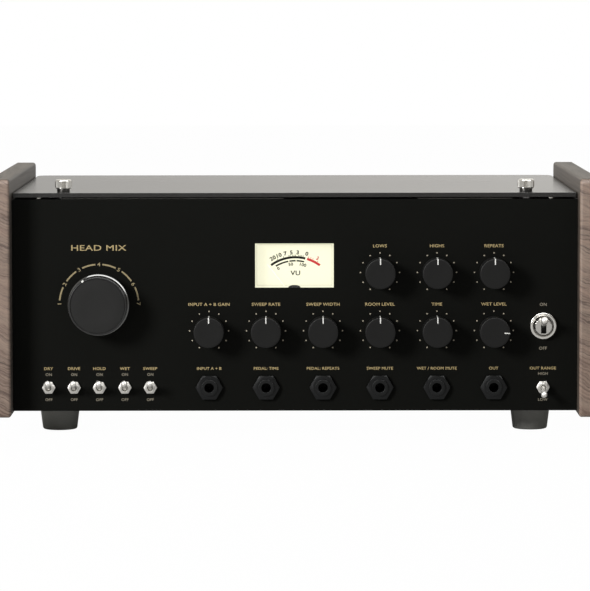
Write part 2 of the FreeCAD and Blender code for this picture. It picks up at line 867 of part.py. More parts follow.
def meter_case():
    """Moulded case behind the panel with the coil housing and the needle's bearing, and the hub's cover."""
    reach = meter_width / 2
    top = meter_z + meter_height / 2
    bottom = meter_z - meter_height / 2 - meter_below
    depth1 = panel_thickness + meter_depth
    shell = block(meter_x - reach - meter_wall, meter_x + reach + meter_wall, panel_thickness, depth1,
                  bottom - meter_wall, top + meter_wall)
    room = block(meter_x - reach, meter_x + reach, panel_thickness, depth1 - meter_wall, bottom, top)
    core = rod_back(meter_x, pivot_z, movement_radius, meter_face_sink + meter_face, depth1)
    bore = rod_back(meter_x, pivot_z, needle_shaft_radius + running_gap, 0, depth1 - meter_wall)
    return [joined([shell.cut(room), core]).cut(bore), hub_cover()]


def meter_scale_plate():
    """Plate behind the needle that carries the scale."""
    reach = meter_width / 2 - seat_gap
    top = meter_z + meter_height / 2 - seat_gap
    bottom = meter_z - meter_height / 2 - meter_below + seat_gap
    rear = meter_face_sink + meter_face
    plate = block(meter_x - reach, meter_x + reach, meter_face_sink, rear, bottom, top)
    hole = rod_back(meter_x, pivot_z, needle_shaft_radius + loose_gap, 0, rear)
    return plate.cut(hole)


def meter_window():
    """Clear window, let in flush with the panel."""
    return meter_block(-seat_gap, meter_glass_sink, meter_glass_sink + meter_glass)


def hub_cover():
    """Half-oval cover behind the window's lower edge, over the needle's hub."""
    z = meter_z - meter_height / 2
    depth = panel_thickness
    oval = Part.Ellipse(V(meter_x, y_at(depth), z), hub_width / 2, hub_rise)
    half = Part.makeCylinder(hub_width / 2, hub_thickness, V(meter_x, y_at(depth), z), BACK)
    squash = FreeCAD.Matrix()
    squash.move(V(-meter_x, 0, -z))
    squash.scale(V(1, 1, oval.MinorRadius / oval.MajorRadius))
    squash.move(V(meter_x, 0, z))
    cap = half.transformGeometry(squash)
    skirt = block(meter_x - hub_width / 2, meter_x + hub_width / 2, depth, depth + hub_thickness,
                  z - 2 * hub_rise, z)
    return joined([cap, skirt])


def meter_needle():
    """Needle with its hub and spindle, at rest at the left end of the scale."""
    front = needle_sink - needle_thickness / 2
    spindle = rod_back(meter_x, pivot_z, needle_shaft_radius, front, panel_thickness + meter_depth / 2)
    hub = rod_back(meter_x, pivot_z, needle_hub_radius, front, front + needle_thickness * 2)
    pointer = block(meter_x - needle_width / 2, meter_x + needle_width / 2, front, front + needle_thickness,
                    pivot_z - needle_hub_radius * 2, pivot_z + needle_length)
    needle = joined([spindle, hub, pointer])
    needle.rotate(V(meter_x, y_at(0), pivot_z), BACK, needle_rest)
    return needle


# ---- Deck and tape path ----
def deck_plate():
    """Deck sheet on the tray's ledges, with the pinch arm's post pressed into it."""
    half = wall_face - deck_side_gap
    plate = block(-half, half, deck_front, rear_face - deck_rear_gap, deck_bottom, deck_top)
    hole = rod_up(capstan_x, capstan_line, bearing_radius + seat_gap, deck_bottom, deck_top)
    post_top = arm_bottom + arm_thickness + loose_gap
    post = rod_up(arm_x, arm_line, arm_post_radius, deck_top, post_top)
    head = rod_up(arm_x, arm_line, arm_post_head, post_top, post_top + axle_head)
    return joined([plate.cut(hole), post, head])


def tape_corners():
    """Guide posts that the tape turns round: two at the ends of the head run, two at the bin's mouths."""
    inset = corner_radius - guide_radius
    return [(-corner_x + inset, tape_line + inset), (corner_x - inset, tape_line + inset)]


def arc_between(cx, cy, radius, start, sweep):
    """Horizontal arc about a centre, angles in degrees from +X towards the back."""
    marks = []
    for share in (0, 0.5, 1):
        turn = math.radians(start + sweep * share)
        marks.append(V(cx + radius * math.cos(turn), cy + radius * math.sin(turn), tape_bottom))
    return Part.Arc(*marks).toShape()


def tape_path(offset):
    """Closed line of the tape loop, moved outwards by the offset from its middle."""
    radius = corner_radius + offset
    front = tape_line - offset
    side = corner_x + offset
    edges = []
    left = (-corner_x + corner_radius, y_at(tape_line + corner_radius))
    right = (corner_x - corner_radius, y_at(tape_line + corner_radius))
    edges.append(arc_between(left[0], left[1], radius, 180, 90))
    edges.append(Part.makeLine(V(left[0], y_at(front), tape_bottom), V(right[0], y_at(front), tape_bottom)))
    edges.append(arc_between(right[0], right[1], radius, 270, 90))
    step = 2 * corner_x / bin_runs
    turn = step / 2
    x = corner_x
    lean = offset
    here = V(side, right[1], tape_bottom)
    for i in range(bin_runs):
        outward = 1 if i % 2 == 0 else -1
        end_depth = bin_back if outward == 1 else bin_front
        centre_y = y_at(end_depth - outward * turn)
        arrive = V(x + lean, centre_y, tape_bottom)
        edges.append(Part.makeLine(here, arrive))
        bend = turn + outward * offset
        edges.append(arc_between(x - turn, centre_y, bend, 0, outward * 180))
        x -= step
        lean = -lean
        here = V(x + lean, centre_y, tape_bottom)
    edges.append(Part.makeLine(here, V(-side, left[1], tape_bottom)))
    return Part.Wire(edges)


def tape_loop():
    """Endless loop of tape: past the heads, over the capstan and folded in the bin."""
    outer = Part.Face(tape_path(tape_thickness / 2))
    inner = Part.Face(tape_path(-tape_thickness / 2))
    return outer.cut(inner).extrude(V(0, 0, tape_width))


def tape_bin():
    """Open tray that holds the folds of the loop."""
    reach = corner_x + bin_margin
    front = bin_front - bin_margin
    back = bin_back + bin_margin
    top = deck_top + bin_height
    outside = block(-reach - bin_wall, reach + bin_wall, front - bin_wall, back + bin_wall, deck_top, top)
    room = block(-reach, reach, front, back, deck_top + bin_floor, top)
    mouths = []
    for side in (-1, 1):
        middle = side * corner_x
        half = bin_mouth / 4
        mouths.append(block(middle - half, middle + half, front - bin_wall, front, deck_top + bin_floor, top))
    return without(outside, [room] + mouths)


def tape_guides():
    """Flanged guide posts at both ends of the head run."""
    posts = []
    for x, depth in tape_corners():
        low = tape_bottom - loose_gap
        high = tape_bottom + tape_width + loose_gap
        slim = corner_radius - tape_thickness / 2 - tape_clear
        foot = guide_flange_radius + 2
        profile = [(0, deck_top), (foot, deck_top), (foot, deck_top + 2),
                   (slim, deck_top + 2), (slim, low - guide_flange), (slim + 1.6, low - guide_flange),
                   (slim + 1.6, low), (slim, low), (slim, high), (slim + 1.6, high),
                   (slim + 1.6, high + guide_flange), (0, high + guide_flange)]
        centre_x = math.copysign(corner_x - corner_radius, x)
        posts.append(turned_up(centre_x, tape_line + corner_radius, profile))
    return posts


def head_block():
    """Bar that carries the heads."""
    x0 = head_xs[0] - head_width / 2 - head_bar_margin
    x1 = head_xs[-1] + head_width / 2 + head_bar_margin / 2
    front = tape_line + head_bar_front
    return block(x0, x1, front, front + head_depth + head_bar_margin, deck_top, deck_top + head_bar_thickness)


def tape_heads():
    """Erase, record and three playback heads, each with a rounded nose to the tape."""
    heads = []
    z0 = deck_top + head_bar_thickness
    nose = tape_line + tape_thickness / 2 + tape_clear
    for x in head_xs:
        half = head_width / 2
        front_left = V(x - half, y_at(nose + head_nose), z0)
        front_right = V(x + half, y_at(nose + head_nose), z0)
        back_right = V(x + half, y_at(nose + head_depth), z0)
        back_left = V(x - half, y_at(nose + head_depth), z0)
        face = Part.Arc(front_left, V(x, y_at(nose), z0), front_right).toShape()
        rest = Part.makePolygon([front_right, back_right, back_left, front_left])
        outline = Part.Wire([face] + rest.Edges)
        heads.append(Part.Face(outline).extrude(V(0, 0, head_height)))
    return heads


# ---- Capstan drive ----
def capstan_bearing():
    """Flanged bearing tube through the deck."""
    bore = shaft_radius + running_gap
    return turned_up(capstan_x, capstan_line, [
        (bore, bearing_bottom), (bearing_radius, bearing_bottom), (bearing_radius, deck_top),
        (bearing_flange_radius, deck_top), (bearing_flange_radius, deck_top + bearing_flange),
        (bore, deck_top + bearing_flange)])


def capstan_flywheel():
    """Flywheel with a heavy rim, a thin web and a hub, on the capstan shaft."""
    middle = (flywheel_top + flywheel_bottom) / 2
    web0 = middle - flywheel_web / 2
    web1 = middle + flywheel_web / 2
    rim = flywheel_radius - flywheel_rim
    hub_top = flywheel_top + flywheel_hub
    top = tape_bottom + tape_width + capstan_top_gap - tape_clear
    return turned_up(capstan_x, capstan_line, [
        (0, flywheel_bottom), (flywheel_hub_radius, flywheel_bottom), (flywheel_hub_radius, web0),
        (rim, web0), (rim, flywheel_bottom), (flywheel_radius, flywheel_bottom),
        (flywheel_radius, flywheel_top), (rim, flywheel_top), (rim, web1), (flywheel_hub_radius, web1),
        (flywheel_hub_radius, hub_top), (shaft_radius, hub_top), (shaft_radius, top), (0, top)])


def capstan_motor():
    """Synchronous motor hung under the deck, shaft down."""
    bottom = deck_bottom - motor_height
    boss = bottom - motor_boss
    bore = axle_radius + running_gap
    return turned_up(motor_x, motor_line, [
        (0, deck_bottom), (motor_radius, deck_bottom), (motor_radius, bottom), (motor_boss_radius, bottom),
        (motor_boss_radius, boss), (bore, boss), (bore, bottom + motor_height / 2),
        (0, bottom + motor_height / 2)])


def motor_pulley():
    """Stepped pulley on the motor's shaft, level with the flywheel."""
    low = belt_z - belt_width / 2 - loose_gap
    high = belt_z + belt_width / 2 + loose_gap
    lip = pulley_radius + pulley_lip
    shaft_top = deck_bottom - motor_height / 2 - running_gap
    return turned_up(motor_x, motor_line, [
        (0, low - pulley_flange), (lip, low - pulley_flange), (lip, low), (pulley_radius, low),
        (pulley_radius, high), (lip, high), (lip, high + pulley_flange), (axle_radius, high + pulley_flange),
        (axle_radius, shaft_top), (0, shaft_top)])


def belt_outline(grow):
    """Closed line round the flywheel and the pulley at this distance from them."""
    big = flywheel_radius + grow
    small = pulley_radius + grow
    a = V(capstan_x, y_at(capstan_line), belt_z - belt_width / 2)
    b = V(motor_x, y_at(motor_line), belt_z - belt_width / 2)
    line = b - a
    heading = math.degrees(math.atan2(line.y, line.x))
    spread = math.degrees(math.acos((big - small) / line.Length))

    def mark(centre, radius, angle):
        turn = math.radians(heading + angle)
        return centre + V(radius * math.cos(turn), radius * math.sin(turn), 0)

    edges = [Part.Arc(mark(a, big, spread), mark(a, big, 180), mark(a, big, -spread)).toShape(),
             Part.makeLine(mark(a, big, -spread), mark(b, small, -spread)),
             Part.Arc(mark(b, small, -spread), mark(b, small, 0), mark(b, small, spread)).toShape(),
             Part.makeLine(mark(b, small, spread), mark(a, big, spread))]
    return Part.Wire(edges)


def drive_belt():
    """Flat rubber belt from the pulley to the flywheel."""
    outer = Part.Face(belt_outline(loose_gap + belt_thickness))
    inner = Part.Face(belt_outline(loose_gap))
    return outer.cut(inner).extrude(V(0, 0, belt_width))


# ---- Pinch roller ----
def pinch_arm():
    """Flat arm from the post to the roller, with the roller's axle."""
    z1 = arm_bottom + arm_thickness
    a = V(arm_x, y_at(arm_line), arm_bottom)
    b = V(capstan_x, y_at(roller_line), arm_bottom)
    along = b - a
    along.normalize()
    side = V(-along.y, along.x, 0) * arm_radius
    points = [a + side, b + side, b - side, a - side]
    bar = Part.Face(Part.makePolygon(points + points[:1])).extrude(V(0, 0, arm_thickness))
    ends = [rod_up(arm_x, arm_line, arm_radius, arm_bottom, z1),
            rod_up(capstan_x, roller_line, arm_radius, arm_bottom, z1)]
    axle_top = z1 + loose_gap + roller_height + loose_gap
    axle = rod_up(capstan_x, roller_line, axle_radius, z1, axle_top)
    head = rod_up(capstan_x, roller_line, axle_head_radius, axle_top, axle_top + axle_head)
    bore = rod_up(arm_x, arm_line, arm_post_radius + running_gap, arm_bottom, z1)
    return joined([bar] + ends + [axle, head]).cut(bore)


def pinch_roller():
    """Rubber roller on the arm's axle."""
    z0 = arm_bottom + arm_thickness + loose_gap
    tyre = rod_up(capstan_x, roller_line, roller_radius, z0, z0 + roller_height)
    return tyre.cut(rod_up(capstan_x, roller_line, axle_radius + running_gap, z0, z0 + roller_height))


def pinch_spring():
    """Coils of the arm's return spring round the foot of its post."""
    inside = arm_post_radius + loose_gap
    outside = spring_radius
    height = arm_bottom - loose_gap - deck_top
    step = height / spring_turns
    profile = [(inside, deck_top)]
    for i in range(spring_turns):
        profile.append((outside - spring_wire, deck_top + i * step))
        profile.append((outside, deck_top + (i + 0.5) * step))
    profile.append((outside - spring_wire, deck_top + height))
    profile.append((inside, deck_top + height))
    return turned_up(arm_x, arm_line, profile)


# ---- Inside the floor ----
def circuit_board():
    """Main board on stand-offs, with its row of capacitors."""
    z0 = floor_top + board_rise
    z1 = z0 + board_thickness
    parts = [block(board_x0, board_x1, board_front, board_back, z0, z1)]
    inset = 2 * standoff_radius
    for x in (board_x0 + inset, board_x1 - inset):
        for depth in (board_front + inset, board_back - inset):
            parts.append(rod_up(x, depth, standoff_radius, floor_top, z0))
    for i in range(capacitors):
        x = board_x0 + capacitor_pitch * (i + 1)
        parts.append(rod_up(x, board_back - capacitor_pitch, capacitor_radius, z1, z1 + capacitor_height))
    return joined(parts)


def mains_transformer():
    """Laminated core on feet, with the winding round its middle leg."""
    z0 = floor_top
    half = core_width / 2
    front = core_line - core_depth / 2
    back = core_line + core_depth / 2
    core = block(core_x - half, core_x + half, front, back, z0, z0 + core_height)
    coil = block(core_x - half + coil_margin, core_x + half - coil_margin, front - coil_overhang,
                 back + coil_overhang, z0 + coil_margin, z0 + core_height - coil_margin)
    feet = block(core_x - half - core_foot_reach, core_x + half + core_foot_reach, front, back,
                 z0, z0 + core_foot)
    return joined([core, coil, feet])


# ---- Mains inlet ----
def iec_inlet():
    """Mains inlet with its flange on the rear plate and three pins in its recess."""
    z = floor_z + inlet_row
    half_w = inlet_width / 2
    half_h = inlet_height / 2
    back = rear_face + inlet_flange
    front = rear_face - inlet_depth
    body = block(inlet_x - half_w, inlet_x + half_w, front, rear_face, z - half_h, z + half_h)
    flange = block(inlet_x - inlet_flange_width / 2, inlet_x + inlet_flange_width / 2, rear_face, back,
                   z - inlet_flange_height / 2, z + inlet_flange_height / 2)
    half_recess = inlet_recess_width / 2
    room = block(inlet_x - half_recess, inlet_x + half_recess, back - inlet_recess, back,
                 z - inlet_recess_height / 2, z + inlet_recess_height / 2)
    shell = joined([body, flange]).cut(room)
    pins = []
    for dx, dz in ((-inlet_pin_spread, -2), (inlet_pin_spread, -2), (0, 2)):
        pins.append(block(inlet_x + dx - inlet_pin_width / 2, inlet_x + dx + inlet_pin_width / 2,
                          back - inlet_recess, back - inlet_recess + inlet_pin,
                          z + dz - inlet_pin_height / 2, z + dz + inlet_pin_height / 2))
    return joined([shell] + pins)


def knobs():
    """The nine small knobs by name, each with its place and pointer angle."""
    names = ("input_gain_knob", "sweep_rate_knob", "sweep_width_knob", "room_level_knob", "tape_time_knob",
             "wet_level_knob", "lows_knob", "highs_knob", "repeats_knob")
    rests = {"wet_level_knob": last_knob_rest}
    result = {}
    for name, (x, z) in zip(names, pot_places()):
        result[name] = small_knob(x, z, rests.get(name, 0.0))
    return result


def levers():
    """The six small levers by name: five up, the output range one down."""
    names = ("dry_lever", "motor_lever", "hold_lever", "wet_lever", "sweep_lever")
    result = {name: small_lever(x, -toggle_tilt) for name, x in zip(names, toggle_xs)}
    result["output_range_lever"] = small_lever(switch_x, toggle_tilt)
    return result


def nodes():
    """Every node's name with its solids."""
    result = {
        "left_cheek": cheek(-1),
        "right_cheek": cheek(1),
        "chassis_tray": chassis_tray(),
        "front_panel": front_panel(),
        "rear_panel": rear_panel(),
        "rubber_feet": rubber_feet(),
        "case_screws": case_screws(),
        "lid_panel": lid_panel(),
        "lid_seals": lid_seals(),
        "hinge_fixed_leaves": hinge_fixed_leaves(),
        "hinge_lid_leaves": hinge_lid_leaves(),
        "left_thumbscrew": thumbscrew(-1),
        "right_thumbscrew": thumbscrew(1),
        "lid_pillars": lid_pillars(),
        "meter_case": meter_case(),
        "meter_scale_plate": meter_scale_plate(),
        "meter_window": meter_window(),
        "meter_needle": meter_needle(),
        "potentiometers": potentiometers(),
        "panel_nuts": panel_nuts(),
        "rotary_switch": rotary_switch(),
        "mode_knob": mode_knob(),
        "jack_sockets": jack_sockets(),
        "jack_nuts": jack_nuts(),
        "toggle_switches": toggle_switches(),
        "power_switch_body": power_switch_body(),
        "power_switch_ring": power_switch_ring(),
        "power_lever": power_lever(),
        "deck_plate": deck_plate(),
        "tape_loop": tape_loop(),
        "tape_bin": tape_bin(),
        "tape_guides": tape_guides(),
        "head_block": head_block(),
        "tape_heads": tape_heads(),
        "capstan_bearing": capstan_bearing(),
        "capstan_flywheel": capstan_flywheel(),
        "capstan_motor": capstan_motor(),
        "motor_pulley": motor_pulley(),
        "drive_belt": drive_belt(),
        "pinch_arm": pinch_arm(),
        "pinch_roller": pinch_roller(),
        "pinch_spring": pinch_spring(),
        "circuit_board": circuit_board(),
        "mains_transformer": mains_transformer(),
        "iec_inlet": iec_inlet(),
    }
    result.update(knobs())
    result.update(levers())
    return result


os.makedirs("parts", exist_ok=True)
for node, solids in nodes().items():
    shape = Part.makeCompound(solids) if isinstance(solids, list) else solids
    shape.exportStep("parts/" + node + ".step")
    print(node, len(shape.Solids), round(shape.Volume, 1), shape.isValid())
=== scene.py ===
"""Looks of a tape echo unit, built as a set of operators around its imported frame."""
import json
import math

import bmesh
import bpy
from bpy.props import FloatProperty, FloatVectorProperty, IntProperty, PointerProperty
from mathutils import Matrix, Vector

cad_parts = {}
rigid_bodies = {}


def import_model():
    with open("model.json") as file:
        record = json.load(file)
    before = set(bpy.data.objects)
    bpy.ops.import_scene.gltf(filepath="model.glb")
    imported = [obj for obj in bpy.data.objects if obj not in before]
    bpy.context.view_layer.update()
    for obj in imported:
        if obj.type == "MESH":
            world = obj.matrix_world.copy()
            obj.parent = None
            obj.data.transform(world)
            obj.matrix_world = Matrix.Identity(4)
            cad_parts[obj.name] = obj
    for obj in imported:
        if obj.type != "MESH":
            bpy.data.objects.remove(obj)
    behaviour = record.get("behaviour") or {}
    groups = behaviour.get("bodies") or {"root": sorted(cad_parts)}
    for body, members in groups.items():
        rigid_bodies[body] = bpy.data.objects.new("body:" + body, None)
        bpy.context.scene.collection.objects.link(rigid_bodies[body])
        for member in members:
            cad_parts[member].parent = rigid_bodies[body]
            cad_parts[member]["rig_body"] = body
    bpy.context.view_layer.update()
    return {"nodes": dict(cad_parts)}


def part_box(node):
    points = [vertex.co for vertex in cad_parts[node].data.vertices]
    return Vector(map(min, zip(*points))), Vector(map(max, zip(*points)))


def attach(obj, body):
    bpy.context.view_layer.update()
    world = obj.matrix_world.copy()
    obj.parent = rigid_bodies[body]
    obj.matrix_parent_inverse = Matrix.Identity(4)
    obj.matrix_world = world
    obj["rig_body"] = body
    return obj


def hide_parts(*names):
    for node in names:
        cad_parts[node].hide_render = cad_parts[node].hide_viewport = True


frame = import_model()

bl_info = {
    "name": "Tape Echo Unit",
    "version": (1, 0, 0),
    "blender": (4, 5, 0),
    "location": "3D View > Sidebar > Tape Echo",
    "description": "Detailed pieces, finishes and stage of a tape echo unit",
    "category": "Object",
}

MM = 0.001
METER_INK = 0.05 * MM

# Places read from the frame, in metres
PANEL_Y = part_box("front_panel")[0].y
PANEL_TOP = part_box("front_panel")[1].z
REAR_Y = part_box("rear_panel")[1].y
LID_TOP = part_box("lid_panel")[1].z
DECK_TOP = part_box("head_block")[0].z

FRONT = Vector((0, -1, 0))
BACK = Vector((0, 1, 0))
UP = Vector((0, 0, 1))
DOWN = Vector((0, 0, -1))

# The feet, in millimetres
FOOT_X = 164.0
FOOT_RADIUS = 14.0
FOOT_RECESS = 8.0

# Points closer than these are one, in metres: in a new shape, in a node's mesh, and on a turned shape's axis
NEW_WELD = 1e-7
NODE_WELD = 2e-6
ON_AXIS = 1e-8

# Degrees between two faces: above SHARP their edge stays sharp, above EASED it is rounded, below FLAT they are one
SHARP = 35.0
EASED = 40.0
FLAT = 0.5

# Stage: places in metres, the camera's turn in degrees, its lens and sensor in millimetres
KEY_PLACE = (-1.45, -1.6, 0.85)
GLINT_PLACE = (0.34, -0.3, 0.45)
CAMERA_PLACE = (-0.00074, PANEL_Y - 2.45558, 0.29846)
CAMERA_TURN = (-4.70, 0.02, -0.07)
LENS = 219.66
SENSOR = 36.0

UPPER_KNOBS = ("lows_knob", "highs_knob", "repeats_knob")
LOWER_KNOBS = ("input_gain_knob", "sweep_rate_knob", "sweep_width_knob", "room_level_knob",
               "tape_time_knob", "wet_level_knob")
KNOBS = LOWER_KNOBS + UPPER_KNOBS

# Turn of a knob's line and of the mode knob's mark at rest, in degrees clockwise from the top
KNOB_REST = {"wet_level_knob": 93.0}
MARK_REST = -31.0

KNOB_WORDS = {
    "input_gain_knob": "INPUT A + B GAIN", "sweep_rate_knob": "SWEEP RATE", "sweep_width_knob": "SWEEP WIDTH",
    "room_level_knob": "ROOM LEVEL", "tape_time_knob": "TIME", "wet_level_knob": "WET LEVEL",
    "lows_knob": "LOWS", "highs_knob": "HIGHS", "repeats_knob": "REPEATS",
}
JACK_WORDS = ("INPUT A + B", "PEDAL: TIME", "PEDAL: REPEATS", "SWEEP MUTE", "WET / ROOM MUTE", "OUT")
TOGGLES = ("dry_lever", "motor_lever", "hold_lever", "wet_lever", "sweep_lever")
TOGGLE_WORDS = ("DRY", "DRIVE", "HOLD", "WET", "SWEEP")
LEVERS = TOGGLES + ("output_range_lever",)


def middle(node):
    """Centre of a node's box."""
    low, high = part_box(node)
    return (low + high) / 2


def at_panel(node):
    """Where a control's axis meets the panel's face."""
    place = middle(node)
    return Vector((place.x, PANEL_Y, place.z))


DIAL = at_panel("mode_knob")
POWER = at_panel("power_switch_ring")
JACK_ROW = at_panel("jack_nuts").z
JACK_XS = [at_panel(name).x for name in LOWER_KNOBS]
TOGGLE_XS = [at_panel(name).x for name in LEVERS]


# ---- Sizes and colours ----
def length(label, text, millimetres):
    """A length that the user may change."""
    return FloatProperty(name=label, description=text, default=millimetres * MM, min=0.0, precision=5,
                         subtype="DISTANCE", unit="LENGTH")


def colour(label, text, red, green, blue):
    """A colour that the user may change."""
    return FloatVectorProperty(name=label, description=text, default=(red, green, blue), min=0.0, max=1.0, size=3,
                               subtype="COLOR")


class PrintSizes(bpy.types.PropertyGroup):
    """Sizes of everything printed on the panel."""
    ink: length("Ink", "Thickness of the printed ink", 0.04)
    small_height: length("Small Letters", "Height of the capitals of the small lettering", 2.0)
    title_height: length("Title Letters", "Height of the capitals above the mode dial", 3.7)
    number_height: length("Dial Numbers", "Height of the numbers round the mode dial", 2.5)
    arc_radius: length("Arc Radius", "Radius of the arcs round the mode dial", 27.06)
    arc_width: length("Arc Width", "Width of the arcs round the mode dial", 1.05)
    dot_ring: length("Dot Ring", "Radius of the ring of dots round a small knob", 13.36)
    dot_radius: length("Dot Radius", "Radius of a dot", 0.5)
    dots: IntProperty(name="Dots", description="Dots round a small knob", default=11, min=2, max=41)


class ControlSizes(bpy.types.PropertyGroup):
    """Sizes of the knobs, switches and screws."""
    knob_round: length("Knob Edge", "Rounding of a small knob's edge", 0.75)
    knob_dish: length("Knob Dish", "Hollow of a small knob's face", 0.25)
    pointer_width: length("Pointer Width", "Width of the line on a small knob", 0.74)
    pointer_length: length("Pointer Length", "Length of the line on a small knob's face", 3.9)
    mark_size: length("Mode Mark", "Side of the square mark on the mode knob's rim", 1.6)
    thread_pitch: length("Thread Pitch", "Pitch of the threads on bushes", 0.6)
    rib_size: length("Knurl Size", "Size of a knurl on the lid's thumbscrews", 0.5)
    ribs: IntProperty(name="Knurls", description="Knurls round a thumbscrew", default=44, min=8, max=120)


class CaseSizes(bpy.types.PropertyGroup):
    """Sizes of the eased edges of the case."""
    sheet_edge: length("Sheet Edge", "Easing of the edges of plates", 0.25)
    lid_edge: length("Lid Edge", "Easing of the acrylic lid's edges", 0.5)
    moulded_edge: length("Moulded Edge", "Easing of the edges of moulded pieces", 0.5)
    nut_edge: length("Nut Edge", "Easing of the edges of nuts", 0.3)
    foot_round: length("Foot Edge", "Rounding of the rubber feet", 1.6)


class Finishes(bpy.types.PropertyGroup):
    """Colours of the finishes."""
    wood_light: colour("Wood, Light", "Light grain of the wooden cheeks", 0.262, 0.192, 0.15)
    wood_red: colour("Wood, Red", "Warmer bands of the wooden cheeks", 0.235, 0.145, 0.11)
    # Partly painted sheen: the long faces' grey-green holds the sheen they show at a grazing view, besides the wood's
    # own side tone
    wood_side_sheen: colour("Wood, Sides", "Oiled tone of the cheeks' long faces", 0.037, 0.042, 0.031)
    wood_dark: colour("Wood, Dark", "Dark grain of the wooden cheeks", 0.068, 0.043, 0.033)
    panel: colour("Panel", "Black of the front panel", 0.0058, 0.0060, 0.0052)
    sheet: colour("Sheet", "Black of the steel case", 0.018, 0.018, 0.018)
    gold: colour("Gold Ink", "Ink of the lettering", 0.376, 0.289, 0.135)
    arc: colour("Arc Ink", "Ink of the arcs and numbers round the mode dial", 0.29, 0.234, 0.122)
    ivory: colour("Ivory Ink", "Ink of the dots", 0.37, 0.33, 0.25)
    white: colour("White Line", "Lines on the knobs", 0.8, 0.8, 0.77)
    knob: colour("Knob", "Black of the knobs", 0.0064, 0.0064, 0.0062)
    lid: colour("Lid", "Tint of the smoked lid", 0.012, 0.0115, 0.011)
    nickel: colour("Nickel", "Plating of screws, nuts and levers", 0.7, 0.685, 0.65)
    # Painted glow: the meter card's colour is also the colour of the light it emits
    card: colour("Meter Card", "Lit card of the meter", 0.98, 0.965, 0.72)
    jack: colour("Jack Nut", "Black of the jack nuts", 0.0048, 0.0052, 0.0054)
    rubber: colour("Rubber", "Rubber of the feet", 0.21, 0.21, 0.195)
    tape: colour("Tape", "Oxide of the tape", 0.075, 0.038, 0.022)
    board: colour("Board", "Lacquer of the circuit board", 0.02, 0.13, 0.05)


class StageSizes(bpy.types.PropertyGroup):
    """Light and floor of the stage."""
    key_power: FloatProperty(name="Key Light", description="Power of the key light in watts", default=46.0,
                             min=0.0, subtype="POWER", unit="POWER")
    key_size: length("Key Size", "Side of the square key light", 600.0)
    glint_power: FloatProperty(name="Glint", description="Power of the light that only shows in reflections",
                               default=6.0, min=0.0, subtype="POWER", unit="POWER")
    glint_width: length("Glint Width", "Width of the light for reflections", 1300.0)
    glint_depth: length("Glint Depth", "Depth of the light for reflections", 200.0)
    sky_front: FloatProperty(name="Sky, Front", description="Light from in front", default=0.37, min=0.0)
    sky_back: FloatProperty(name="Sky, Back", description="Light from behind", default=0.96, min=0.0)
    sky_side: FloatProperty(name="Sky, Side", description="How much brighter it is behind on the right",
                            default=0.33, min=0.0)
    sky_fill: FloatProperty(name="Sky, Fill", description="Share of the sky that fills the shadows", default=0.5,
                            min=0.0, max=1.0)
    floor: colour("Floor", "Colour of the floor", 0.86, 0.86, 0.855)


# ---- Node building ----
class Value:
    """A node's output that takes part in sums; each sum adds a Math node."""

    def __init__(self, nodes, socket):
        self.nodes = nodes
        self.socket = socket

    def sum(self, operation, first, second=0.0, third=0.0, clamp=False):
        settings = {"operation": operation, "use_clamp": clamp}
        return self.nodes.make("ShaderNodeMath", settings, {0: first, 1: second, 2: third})

    def __add__(self, other):
        return self.sum("ADD", self, other)

    def __radd__(self, other):
        return self.sum("ADD", other, self)

    def __sub__(self, other):
        return self.sum("SUBTRACT", self, other)

    def __rsub__(self, other):
        return self.sum("SUBTRACT", other, self)

    def __mul__(self, other):
        return self.sum("MULTIPLY", self, other)

    def __rmul__(self, other):
        return self.sum("MULTIPLY", other, self)

    def __truediv__(self, other):
        return self.sum("DIVIDE", self, other)

    def __rtruediv__(self, other):
        return self.sum("DIVIDE", other, self)

    def __pow__(self, other):
        return self.sum("POWER", self, other)

    def __gt__(self, other):
        return self.sum("GREATER_THAN", self, other)

    def __lt__(self, other):
        return self.sum("LESS_THAN", self, other)

    def __abs__(self):
        return self.sum("ABSOLUTE", self)

    def sine(self):
        return self.sum("SINE", self)

    def cosine(self):
        return self.sum("COSINE", self)

    def clamped(self):
        return self.sum("ADD", self, 0.0, clamp=True)


